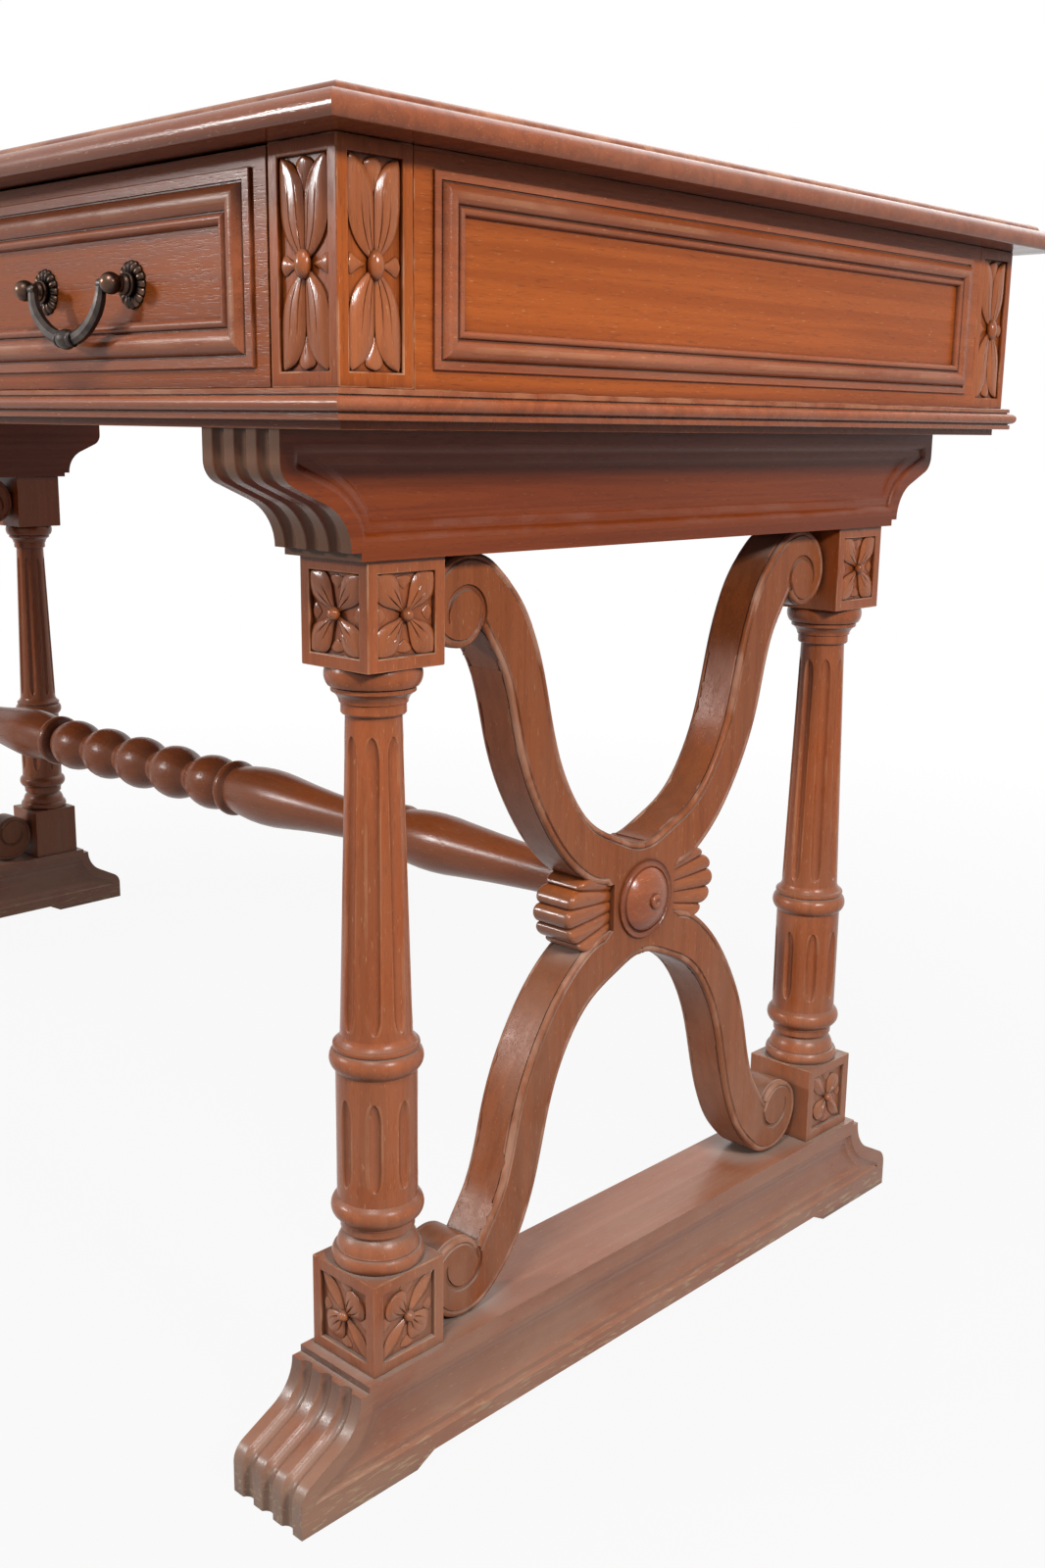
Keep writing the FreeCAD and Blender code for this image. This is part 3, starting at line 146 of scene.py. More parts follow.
@dataclass(frozen=True)
class StainedMahogany:
    """Mahogany, planed and carved, stained red-brown under an old satin varnish.

    Its open pores show as short dark and pale dashes along the grain, and the varnish has gone thin and pale on the
    arrises, a pale mark that on the rails' lips is also a painted sheen. Old polish and painted shade darken the
    corners and hollows.
    """

    name: str
    body: str = "#A85424"
    streak: str = "#90441C"
    pore: str = "#552511"
    fleck: str = "#D2A172"
    # Pale colour of thin, rubbed varnish on the arrises; on the rails' lips it also stands as a painted sheen.
    worn: str = "#C4906C"
    # Dark colour laid into the hollows that ambient occlusion finds: old grime, together with painted shade in the
    # corners.
    grime_and_shade: str = "#2A1109"
    dust: str = "#A98873"
    dust_share: float = 0.0
    low_dust_share: float = 0.0
    low_dust_height_mm: float = 420.0
    scuff: str = "#B79B78"
    scuff_share: float = 0.0
    scuff_height_mm: float = 34.0
    settled: str = "#A08C80"
    settled_share: float = 0.0
    settled_reach_mm: float = 22.0
    end_grain: str = "#6B4A39"
    end_grain_share: float = 0.0
    wear_share: float = 0.75
    roughness: float = 0.28
    gloss: float = 0.22
    streak_length_mm: float = 320.0
    streak_width_mm: float = 8.0
    pore_length_mm: float = 9.0
    # Real pores are under half a millimetre wide; drawn this coarse they still show at the picture's size.
    pore_width_mm: float = 0.8
    # How far the ambient occlusion reaches, and how strongly its grime and painted shade darken the hollows.
    grime_and_shade_reach_mm: float = 7.0
    grime_and_shade_share: float = 0.85
    # Sizes of the softer patterns, along the grain and across it.
    cloud_mm: tuple[float, float] = (260.0, 90.0)
    wear_patch_mm: tuple[float, float] = (46.0, 24.0)
    dust_patch_mm: tuple[float, float] = (120.0, 60.0)
    low_dust_patch_mm: tuple[float, float] = (70.0, 45.0)
    rub_mm: tuple[float, float] = (17.0, 2.6)

    def material(self, grain: Grain) -> Material:
        """Makes this finish for a board whose fibres run that way.

        Args:
            grain: The direction of the fibres.

        Returns:
            A material, made once for each direction.
        """
        label = f"{self.name}, {grain.name.lower()}"
        if label in bpy.data.materials:
            return bpy.data.materials[label]
        material = fresh_material(label)
        tree = material.node_tree
        coordinates = add_node(tree, "TexCoord")
        place = coordinates.outputs["Object"]
        facing = add_node(tree, "SeparateXYZ", links={0: coordinates.outputs["Normal"]})

        def pattern(length: float, width: float, detail: float, warp: float, shift: float) -> NodeSocket:
            scaled = add_node(tree, "Mapping", {"Scale": stretch(grain, length, width),
                                                "Location": (shift, shift, shift)}, {"Vector": place})
            noise = add_node(tree, "TexNoise", {"Scale": 1.0, "Detail": detail, "Roughness": 0.55, "Distortion": warp},
                             {"Vector": scaled.outputs[0]})
            return noise.outputs[0]

        def between(source: NodeSocket, low: float, high: float, top: float) -> NodeSocket:
            return add_node(tree, "MapRange", {1: low, 2: high, 3: 0.0, 4: top}, {0: source},
                            interpolation_type="SMOOTHSTEP").outputs[0]

        def mix(factor: NodeSocket, under: Any, over: str) -> NodeSocket:
            node = add_node(tree, "Mix", {MIX_B: linear(over)}, {0: factor}, data_type="RGBA")
            if isinstance(under, str):
                node.inputs[MIX_A].default_value = linear(under)
            else:
                tree.links.new(under, node.inputs[MIX_A])
            return node.outputs[MIX_OUT]

        def times(first: NodeSocket, second: Any) -> NodeSocket:
            node = add_node(tree, "Math", links={0: first}, operation="MULTIPLY")
            if isinstance(second, float):
                node.inputs[1].default_value = second
            else:
                tree.links.new(second, node.inputs[1])
            return node.outputs[0]

        streaks = pattern(self.streak_length_mm, self.streak_width_mm, 5.0, 0.8, 3.0)
        clouds = pattern(*self.cloud_mm, 2.0, 0.3, 11.0)
        pores = pattern(self.pore_length_mm, self.pore_width_mm, 2.0, 0.0, 5.0)
        flecks = pattern(self.pore_length_mm * 0.7, self.pore_width_mm * 1.1, 2.0, 0.0, 17.0)
        colour = mix(between(streaks, 0.36, 0.66, 0.7), self.body, self.streak)
        colour = mix(between(pores, 0.56, 0.74, 0.40), colour, self.pore)
        colour = mix(between(flecks, 0.64, 0.76, 0.50), colour, self.fleck)
        tone = add_node(tree, "Attribute", attribute_name="tone").outputs["Fac"]
        lift = add_node(tree, "Math", {1: 0.30}, {0: clouds, 2: tone}, operation="MULTIPLY_ADD").outputs[0]
        value = add_node(tree, "Math", {1: 0.85}, {0: lift}, operation="ADD").outputs[0]
        colour = add_node(tree, "HueSaturation", links={"Value": value, "Color": colour}).outputs[0]

        if self.end_grain_share:
            across = add_node(tree, "Math", links={0: facing.outputs[grain.value]}, operation="ABSOLUTE").outputs[0]
            colour = mix(between(across, 0.3, 0.8, self.end_grain_share), colour, self.end_grain)

        # Hollows are darkened toward the grime colour: grime, with painted shade in the corners and creases.
        hollow = add_node(tree, "AmbientOcclusion", {"Distance": self.grime_and_shade_reach_mm * MM}, samples=8)
        grime_and_shade_here = between(hollow.outputs["AO"], 1.0, 0.25, self.grime_and_shade_share)
        colour = mix(grime_and_shade_here, colour, self.grime_and_shade)
        arris = add_node(tree, "Attribute", attribute_name="arris").outputs["Fac"]
        patches = between(pattern(*self.wear_patch_mm, 3.0, 0.4, 29.0), 0.40, 0.66, self.wear_share)
        worn = times(arris, patches)
        colour = mix(worn, colour, self.worn)
        bloom = between(pattern(*self.dust_patch_mm, 4.0, 0.6, 41.0), 0.30, 0.75, self.dust_share)
        height = add_node(tree, "SeparateXYZ", links={0: place}).outputs["Z"]
        if self.low_dust_share:
            low = between(height, self.low_dust_height_mm * MM, 0.0, self.low_dust_share)
            patchy = between(pattern(*self.low_dust_patch_mm, 5.0, 0.5, 53.0), 0.22, 0.62, 1.0)
            bloom = add_node(tree, "Math", links={0: times(low, patchy), 1: bloom}, operation="ADD").outputs[0]
        colour = mix(bloom, colour, self.dust)
        if self.scuff_share:
            near_floor = between(height, self.scuff_height_mm * MM, 4 * MM, self.scuff_share)
            either = add_node(tree, "Math", links={0: near_floor, 1: arris}, operation="MAXIMUM").outputs[0]
            rubs = between(pattern(*self.rub_mm, 7.0, 0.5, 61.0), 0.55, 0.63, 0.85)
            colour = mix(times(either, rubs), colour, self.scuff)
        if self.settled_share:
            nook = add_node(tree, "AmbientOcclusion", {"Distance": self.settled_reach_mm * MM}, samples=8)
            shut = between(nook.outputs["AO"], 0.97, 0.5, self.settled_share)
            upward = between(facing.outputs["Z"], 0.25, 0.8, 1.0)
            colour = mix(times(upward, shut), colour, self.settled)

        sheen = between(streaks, 0.25, 0.75, 0.10)
        dull = add_node(tree, "Math", {1: 0.28, 2: self.roughness - 0.05}, {0: worn}, operation="MULTIPLY_ADD")
        rough = add_node(tree, "Math", links={0: dull.outputs[0], 1: sheen}, operation="ADD").outputs[0]
        rough = add_node(tree, "Math", {1: 0.25}, {0: bloom, 2: rough}, operation="MULTIPLY_ADD").outputs[0]
        relief = add_node(tree, "Math", {1: -0.5}, {0: between(pores, 0.52, 0.74, 1.0), 2: streaks},
                          operation="MULTIPLY_ADD").outputs[0]
        bump = add_node(tree, "Bump", {"Strength": 0.22, "Distance": 0.35 * MM}, {"Height": relief})
        shader = add_node(tree, "BsdfPrincipled",
                          {"IOR": 1.5, "Specular IOR Level": self.gloss},
                          {"Base Color": colour, "Roughness": rough, "Normal": bump.outputs[0]})
        add_node(tree, "OutputMaterial", links={"Surface": shader.outputs[0]})
        return material


@dataclass(frozen=True)
class BareSecondaryWood:
    """Plain planed softwood of the drawer boxes and the case's inner parts, unvarnished and browned with age."""

    name: str = "bare planed pine"
    body: str = "#B58A5A"
    late_wood: str = "#8E6236"
    roughness: float = 0.68
    ring_width_mm: float = 6.0
    ring_length_mm: float = 500.0

    def material(self, grain: Grain) -> Material:
        """Makes this finish for a board whose fibres run that way.

        Args:
            grain: The direction of the fibres.

        Returns:
            A material, made once for each direction.
        """
        label = f"{self.name}, {grain.name.lower()}"
        if label in bpy.data.materials:
            return bpy.data.materials[label]
        material = fresh_material(label)
        tree = material.node_tree
        coordinates = add_node(tree, "TexCoord")

        def rings(way: Grain) -> NodeSocket:
            scale = stretch(way, self.ring_length_mm, self.ring_width_mm)
            scaled = add_node(tree, "Mapping", {"Scale": scale}, {"Vector": coordinates.outputs["Object"]})
            return add_node(tree, "TexNoise", {"Scale": 1.0, "Detail": 4.0, "Distortion": 0.5},
                            {"Vector": scaled.outputs[0]}).outputs[0]

        # A face square to the grain belongs to a board that runs the other way, such as a drawer's back.
        other = Grain.CROSSWISE if grain is Grain.LENGTHWISE else Grain.LENGTHWISE
        facing = add_node(tree, "SeparateXYZ", links={0: coordinates.outputs["Normal"]}).outputs[grain.value]
        square = add_node(tree, "Math", links={0: facing}, operation="ABSOLUTE").outputs[0]
        turned_board = add_node(tree, "MapRange", {1: 0.6, 2: 0.7}, {0: square}).outputs[0]
        figure = add_node(tree, "Mix", links={0: turned_board, 2: rings(grain), 3: rings(other)}).outputs[0]
        share = add_node(tree, "MapRange", {1: 0.42, 2: 0.62}, {0: figure}).outputs[0]
        colour = add_node(tree, "Mix", {MIX_A: linear(self.body), MIX_B: linear(self.late_wood)}, {0: share},
                          data_type="RGBA").outputs[MIX_OUT]
        bump = add_node(tree, "Bump", {"Strength": 0.2, "Distance": 0.3 * MM}, {"Height": figure})
        shader = add_node(tree, "BsdfPrincipled", {"Roughness": self.roughness, "IOR": 1.5},
                          {"Base Color": colour, "Normal": bump.outputs[0]})
        add_node(tree, "OutputMaterial", links={"Surface": shader.outputs[0]})
        return material


@dataclass(frozen=True)
class PatinatedBronze:
    """Cast bronze, brown-black with age, rubbed back to a dull brass colour where hands touch it."""

    name: str
    patina: str
    rubbed: str
    crevice: str = "#2A2521"
    roughness: float = 0.36
    cloud_mm: float = 7.0

    def material(self) -> Material:
        """Makes this finish once and returns it."""
        if self.name in bpy.data.materials:
            return bpy.data.materials[self.name]
        material = fresh_material(self.name)
        tree = material.node_tree
        place = add_node(tree, "TexCoord").outputs["Object"]
        clouds = add_node(tree, "TexNoise", {"Scale": 1 / (self.cloud_mm * MM), "Detail": 4.0}, {"Vector": place})
        hollow = add_node(tree, "AmbientOcclusion", {"Distance": 3 * MM}, samples=8)
        open_share = add_node(tree, "MapRange", {1: 0.5, 2: 1.0, 3: 0.0, 4: 1.0}, {0: hollow.outputs["AO"]}).outputs[0]
        rubbed = add_node(tree, "MapRange", {1: 0.42, 2: 0.68, 3: 0.0, 4: 0.9}, {0: clouds.outputs[0]}).outputs[0]
        skin = add_node(tree, "Mix", {MIX_A: linear(self.patina), MIX_B: linear(self.rubbed)}, {0: rubbed},
                        data_type="RGBA").outputs[MIX_OUT]
        colour = add_node(tree, "Mix", {MIX_A: linear(self.crevice)}, {0: open_share, MIX_B: skin},
                          data_type="RGBA").outputs[MIX_OUT]
        rough = add_node(tree, "MapRange", {1: 0.3, 2: 0.7, 3: self.roughness + 0.1, 4: self.roughness - 0.1},
                         {0: clouds.outputs[0]}).outputs[0]
        bump = add_node(tree, "Bump", {"Strength": 0.15, "Distance": 0.3 * MM}, {"Height": clouds.outputs[0]})
        shader = add_node(tree, "BsdfPrincipled", {"Metallic": 1.0},
                          {"Base Color": colour, "Roughness": rough, "Normal": bump.outputs[0]})
        add_node(tree, "OutputMaterial", links={"Surface": shader.outputs[0]})
        return material


@dataclass(frozen=True)
class TurnedSteel:
    """Steel of wood screws, turned and left plain, dulled by handling."""

    name: str = "turned steel"
    bright: str = "#8C8A86"
    dull: str = "#5E5B57"
    roughness: float = 0.4

    def material(self) -> Material:
        """Makes this finish once and returns it."""
        if self.name in bpy.data.materials:
            return bpy.data.materials[self.name]
        material = fresh_material(self.name)
        tree = material.node_tree
        place = add_node(tree, "TexCoord").outputs["Object"]
        stains = add_node(tree, "TexNoise", {"Scale": 1 / (3 * MM), "Detail": 4.0}, {"Vector": place})
        colour = add_node(tree, "Mix", {MIX_A: linear(self.bright), MIX_B: linear(self.dull)}, {0: stains.outputs[0]},
                          data_type="RGBA").outputs[MIX_OUT]
        shader = add_node(tree, "BsdfPrincipled", {"Metallic": 1.0, "Roughness": self.roughness},
                          {"Base Color": colour})
        add_node(tree, "OutputMaterial", links={"Surface": shader.outputs[0]})
        return material


CASE_WOOD = StainedMahogany("varnished mahogany of the case", body="#A9541F", streak="#8F4318", gloss=0.18)
EDGE_WOOD = StainedMahogany("worn mahogany of the mouldings", body="#A0512A", streak="#874120", worn="#B98460",
                            dust_share=0.18, wear_share=0.5, roughness=0.24, gloss=0.26)
RAIL_WOOD = StainedMahogany("worn mahogany of the feet", body="#96502E", streak="#80401F", grime_and_shade="#43342B",
                            dust_share=0.32, low_dust_share=0.35, low_dust_height_mm=160.0, scuff_share=0.95,
                            settled_share=0.75, end_grain="#5C463C", end_grain_share=0.75, wear_share=0.85,
                            roughness=0.25, gloss=0.40)
TOP_WOOD = StainedMahogany("polished mahogany of the top", body="#8E451E", streak="#743617", dust_share=0.10,
                           wear_share=0.6, roughness=0.20, gloss=0.4)
# The bearers' body is darker than the other trestle mahogany partly as painted shade, for the case's shadow over them.
# Their pale worn colour on the lips of the sunk panels is mostly a painted sheen, with some real wear.
BEARER_WOOD_PAINTED_SHADE_AND_SHEEN = StainedMahogany("varnished mahogany of the bearers", body="#8A3E18", streak="#6E2C11", fleck="#95593A",
                              worn="#94675A", wear_share=0.8, roughness=0.22, gloss=0.18, end_grain="#7C5B45",
                              end_grain_share=0.8)
TURNED_WOOD = StainedMahogany("varnished mahogany of the trestles", body="#A25226", streak="#8A431C", dust_share=0.12,
                              low_dust_share=0.36, settled_share=0.6, roughness=0.25, gloss=0.27, end_grain_share=0.45)
SCROLL_WOOD = replace(TURNED_WOOD, name="sawn and carved mahogany of the scrolls", body="#9C5229", streak="#854421",
                      worn="#C09078", wear_share=0.9, roughness=0.30, gloss=0.17)
BOSS_WOOD = StainedMahogany("turned mahogany of the bosses", body="#A2522A", streak="#8A4320", roughness=0.20,
                            gloss=0.45, dust_share=0.12)
CARVED_WOOD = StainedMahogany("carved mahogany", body="#A85824", streak="#92481C", roughness=0.20, gloss=0.40,
                              grime_and_shade_reach_mm=3.0, grime_and_shade_share=0.72, dust_share=0.08, low_dust_share=0.3,
                              end_grain_share=0.5)
INNER_WOOD = BareSecondaryWood()
POST_BRONZE = PatinatedBronze("cast bronze, brown patina", "#40332D", "#6A4F40", crevice="#1C1815")
BAIL_BRONZE = PatinatedBronze("cast bronze, grey patina", "#3F3937", "#584F48", roughness=0.40)
SCREW_STEEL = TurnedSteel()


def face_layer(work: BMesh, name: str) -> Any:
    """Gives the layer of that name, with a number for each face, and makes it if the mesh has none."""
    layers = work.faces.layers.float
    return layers.get(name) or layers.new(name)


def face_outwards(work: BMesh) -> None:
    """Turns the faces of a mesh outwards."""
    bmesh.ops.recalc_face_normals(work, faces=work.faces)


def close_holes(work: BMesh) -> None:
    """Fills the holes of a mesh."""
    bmesh.ops.holes_fill(work, edges=[e for e in work.edges if len(e.link_faces) == 1])


def merged_copy(node: str) -> BMesh:
    """Copies a solid's mesh, joined up at its shared points, with its flat faces made whole.

    Args:
        node: The name of the solid's node.

    Returns:
        The copy, for shaping.
    """
    work = bmesh.new()
    work.from_mesh(bpy.data.objects[node].data)
    bmesh.ops.remove_doubles(work, verts=work.verts, dist=0.002 * MM)
    bmesh.ops.dissolve_limit(work, angle_limit=math.radians(0.3), verts=work.verts, edges=work.edges)
    return work


def ease_edges(work: BMesh, width_mm: float, segments: int = 2, sharpest: float = 32.0,
               wanted: Optional[Callable[[BMEdge], bool]] = None, wear: float = 1.0) -> None:
    """Rounds the outward arrises as sandpaper does, and marks the rounded faces for wear.

    Args:
        work: The mesh to shape.
        width_mm: How wide the rounding is.
        segments: Faces across the rounding.
        sharpest: Edges that turn by fewer degrees than this stay as they are.
        wanted: A further test that an edge has to pass.
        wear: How worn the rounded faces are; at the rails' lips the same pale mark also paints a sheen.
    """
    arris = face_layer(work, "arris")
    limit = math.radians(sharpest)
    edges = [e for e in work.edges if len(e.link_faces) == 2 and e.is_convex and e.calc_face_angle() > limit]
    edges = [e for e in edges if wanted is None or wanted(e)]
    made = bmesh.ops.bevel(work, geom=edges, offset=width_mm * MM, segments=segments, profile=0.5, affect="EDGES",
                           material=-1, clamp_overlap=True, offset_type="OFFSET")
    for face in made["faces"]:
        face[arris] = wear


def make_piece(work: BMesh, name: str, body: str, material: Material,
               nodes: Iterable[str] = (), tone: float = 0.0, crease: float = 34.0) -> None:
    """Turns a finished mesh into a piece of the desk.

    Args:
        work: The mesh, in the desk's own frame; it is used up.
        name: The piece's name.
        body: The body that it moves with.
        material: Its finish.
        nodes: The solids that it stands for.
        tone: How much lighter or darker this board is than its neighbours.
        crease: Edges that turn by more degrees than this stay sharp to the eye.
    """
    shade = face_layer(work, "tone")
    limit = math.radians(crease)
    for face in work.faces:
        face.smooth = True
        face[shade] = tone
    for edge in work.edges:
        edge.smooth = len(edge.link_faces) == 2 and edge.calc_face_angle(0.0) <= limit
    mesh = bpy.data.meshes.new(name)
    work.to_mesh(mesh)
    work.free()
    if "custom_normal" in mesh.attributes:
        mesh.attributes.remove(mesh.attributes["custom_normal"])
    mesh.materials.clear()
    mesh.materials.append(material)
    piece = bpy.data.objects.new(name, mesh)
    bpy.context.scene.collection.objects.link(piece)
    flat = piece.modifiers.new("flat faces stay flat", "WEIGHTED_NORMAL")
    flat.keep_sharp = True
    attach(piece, body)
    if nodes:
        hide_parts(*nodes)
    LOG.info("%s: %d faces on %s", name, len(mesh.polygons), body)


def dress_board(node: str, body: str, finish: StainedMahogany, grain: Grain, ease_mm: float, tone: float) -> None:
    """Makes the finished piece of a solid whose shape only needs its arrises eased.

    Args:
        node: The solid's node.
        body: The body it belongs to.
        finish: The wood.
        grain: The way its fibres run.
        ease_mm: The width of the eased arrises.
        tone: How much lighter or darker the board is.
    """
    work = merged_copy(node)
    ease_edges(work, ease_mm)
    make_piece(work, node + "_dressed", body, finish.material(grain), [node], tone)


def cut_away(work: BMesh, cutter: BMesh) -> BMesh:
    """Cuts one closed mesh out of another.

    Args:
        work: The mesh that is cut; it is used up.
        cutter: The mesh that cuts; it is used up.

    Returns:
        What is left.
    """
    holders = []
    for mesh_work, name in ((work, "blank"), (cutter, "cutter")):
        mesh = bpy.data.meshes.new(name)
        mesh_work.to_mesh(mesh)
        mesh_work.free()
        holder = bpy.data.objects.new(name, mesh)
        bpy.context.scene.collection.objects.link(holder)
        holders.append(holder)
    blank, tool = holders
    cut = blank.modifiers.new("cut", "BOOLEAN")
    cut.object = tool
    cut.operation = "DIFFERENCE"
    cut.solver = "EXACT"
    bpy.context.view_layer.update()
    left = bpy.data.meshes.new_from_object(blank.evaluated_get(bpy.context.evaluated_depsgraph_get()))
    result = bmesh.new()
    result.from_mesh(left)
    for holder in holders:
        mesh = holder.data
        bpy.data.objects.remove(holder)
        bpy.data.meshes.remove(mesh)
    bpy.data.meshes.remove(left)
    return result


def paint_node(node: str, material: Material) -> None:
    """Gives a solid that keeps its shape its finish."""
    mesh = bpy.data.objects[node].data
    mesh.materials.clear()
    mesh.materials.append(material)
    LOG.info("%s: solid as it is, %s", node, material.name)


def smooth_run(points: Iterable[tuple[float, float]], share: float) -> Vector:
    """Finds a place on a smooth line through points.

    Args:
        points: The points that the line goes through.
        share: How far along, from 0 at the first point to 1 at the last.

    Returns:
        The place.
    """
    knots = [Vector(p) for p in points]
    along = min(max(share, 0.0), 1.0) * (len(knots) - 1)
    first = min(int(along), len(knots) - 2)
    t = along - first
    p1, p2 = knots[first], knots[first + 1]
    p0 = knots[first - 1] if first else 2 * p1 - p2
    p3 = knots[first + 2] if first + 2 < len(knots) else 2 * p2 - p1
    return 0.5 * (2 * p1 + (p2 - p0) * t + (2 * p0 - 5 * p1 + 4 * p2 - p3) * t**2 + (3 * p1 - p0 - 3 * p2 + p3) * t**3)


@dataclass(frozen=True)
class CarvedLeaf:
    """One leaf of a carving, between two long edges that run from its root to its tip, in millimetres.

    Across and up are measured from the middle of the panel, heights from the panel's sunk floor.
    """

    left: Pairs
    right: Pairs
    root_height: float = 1.8
    crown_height: float = 2.9
    tip_height: float = 1.5
    edge_height: float = 1.0
    veins: tuple[float, ...] = ()
    vein_end: float = 0.62
    vein_depth: float = 0.9
    vein_half: float = 0.085
    ridge: float = 0.0
    rows: int = 17
    crown_at: float = 0.45

    def columns(self) -> list[float]:
        """Places lines across the leaf, with three at each vein so that its cut is crisp."""
        plain = [-1.0, -0.94, -0.82, -0.62, -0.4, -0.2, 0.0, 0.2, 0.4, 0.62, 0.82, 0.94, 1.0]
        room = 1.6 * self.vein_half
        kept = [c for c in plain if all(abs(c - v) > room for v in self.veins)]
        return sorted(kept + [v + k * self.vein_half for v in self.veins for k in (-1, 0, 1)])

    def height(self, along: float, across: float) -> float:
        """Gives the leaf's height above the panel's floor.

        Args:
            along: Share of the way from root to tip.
            across: From -1 at the left edge to 1 at the right edge.

        Returns:
            The height in millimetres.
        """
        if along < self.crown_at:
            rise = math.sin(math.pi / 2 * along / self.crown_at)
            middle = self.root_height + (self.crown_height - self.root_height) * rise
        else:
            fall = ((along - self.crown_at) / (1 - self.crown_at)) ** 1.6
            middle = self.crown_height + (self.tip_height - self.crown_height) * fall
        bow = (1 - abs(across) ** 2.6) * (1 - self.ridge) + (1 - abs(across)) * self.ridge
        level = self.edge_height + (middle - self.edge_height) * bow
        nearest = min((abs(across - v) for v in self.veins), default=1.0)
        if nearest < 0.5 * self.vein_half and along < self.vein_end:
            level -= self.vein_depth * (1 - (along / self.vein_end) ** 2) * min(1.0, along / 0.08)
        return level

    def carve(self, work: BMesh, place: Matrix, mirror: tuple[int, int] = (1, 1)) -> None:
        """Adds the leaf to a mesh.

        Args:
            work: The mesh.
            place: Takes across, up and out from the panel's floor, in metres, to the desk's frame.
            mirror: Signs for across and up.
        """
        columns = self.columns()
        verts = bmesh.ops.create_grid(work, x_segments=len(columns) - 1, y_segments=self.rows - 1, size=0.5)["verts"]
        for vert in verts:
            across = columns[round((vert.co.x + 0.5) * (len(columns) - 1))]
            along = round((vert.co.y + 0.5) * (self.rows - 1)) / (self.rows - 1)
            left, right = smooth_run(self.left, along), smooth_run(self.right, along)
            spot = left + (right - left) * (across + 1) / 2
            vert.co = Vector((spot.x * mirror[0], spot.y * mirror[1], self.height(along, across))) * MM
        edges = [e for e in {e for v in verts for e in v.link_edges} if len(e.link_faces) == 1]
        skirt = bmesh.ops.extrude_edge_only(work, edges=edges)["geom"]
        low = [v for v in skirt if isinstance(v, BMVert)]
        for vert in low:
            vert.co.z = -0.15 * MM
        rim = [e for e in skirt if isinstance(e, BMEdge) and len(e.link_faces) == 1]
        bmesh.ops.holes_fill(work, edges=rim)
        bmesh.ops.transform(work, matrix=place, verts=verts + low)


def petal(reach: tuple[float, float], start: float, half_widths: Pairs,
          bow: float = 0.0, **cut: Any) -> CarvedLeaf:
    """Makes a petal that points from the panel's middle to a place on it.

    Args:
        reach: The tip, across and up from the middle.
        start: Share of the way to the tip where it begins.
        half_widths: Share of the way from its beginning to its tip, and half its width there, in millimetres.
        bow: How far its middle line bends aside.
        **cut: Heights and veins for the leaf.

    Returns:
        The petal.
    """
    tip = Vector(reach)
    aside = Vector((-tip.y, tip.x)).normalized()
    left, right = [], []
    for share, half in half_widths:
        middle = tip * (start + (1 - start) * share) + aside * bow * 4 * share * (1 - share)
        left.append(tuple(middle + aside * half))
        right.append(tuple(middle - aside * half))
    return CarvedLeaf(tuple(left), tuple(right), **cut)


def even_leaf(edge: Pairs, upright: bool, **cut: Any) -> CarvedLeaf:
    """Makes a leaf whose two edges mirror each other.

    Args:
        edge: The right edge of a leaf that points up, or the upper edge of one that points to the right.
        upright: True for a leaf that points up.
        **cut: Heights and veins for the leaf.

    Returns:
        The leaf.
    """
    if upright:
        return CarvedLeaf(tuple((-x, y) for x, y in edge), edge, **cut)
    return CarvedLeaf(edge, tuple((x, -y) for x, y in edge), **cut)


def add_ball(work: BMesh, place: Matrix, radii: Triple, lift: float) -> None:
    """Adds the round or oval ball at the middle of a carving.

    Args:
        work: The mesh.
        place: Takes the panel's frame to the desk's.
        radii: Half sizes across, up and out, in millimetres.
        lift: Height of its middle above the panel's floor.
    """
    shape = Matrix.Translation((0, 0, lift * MM)) @ Matrix.Diagonal((*(r * MM for r in radii), 1.0))
    bmesh.ops.create_uvsphere(work, u_segments=24, v_segments=14, radius=1.0, matrix=place @ shape)


ALL_QUARTERS = ((1, 1), (-1, 1), (-1, -1), (1, -1))


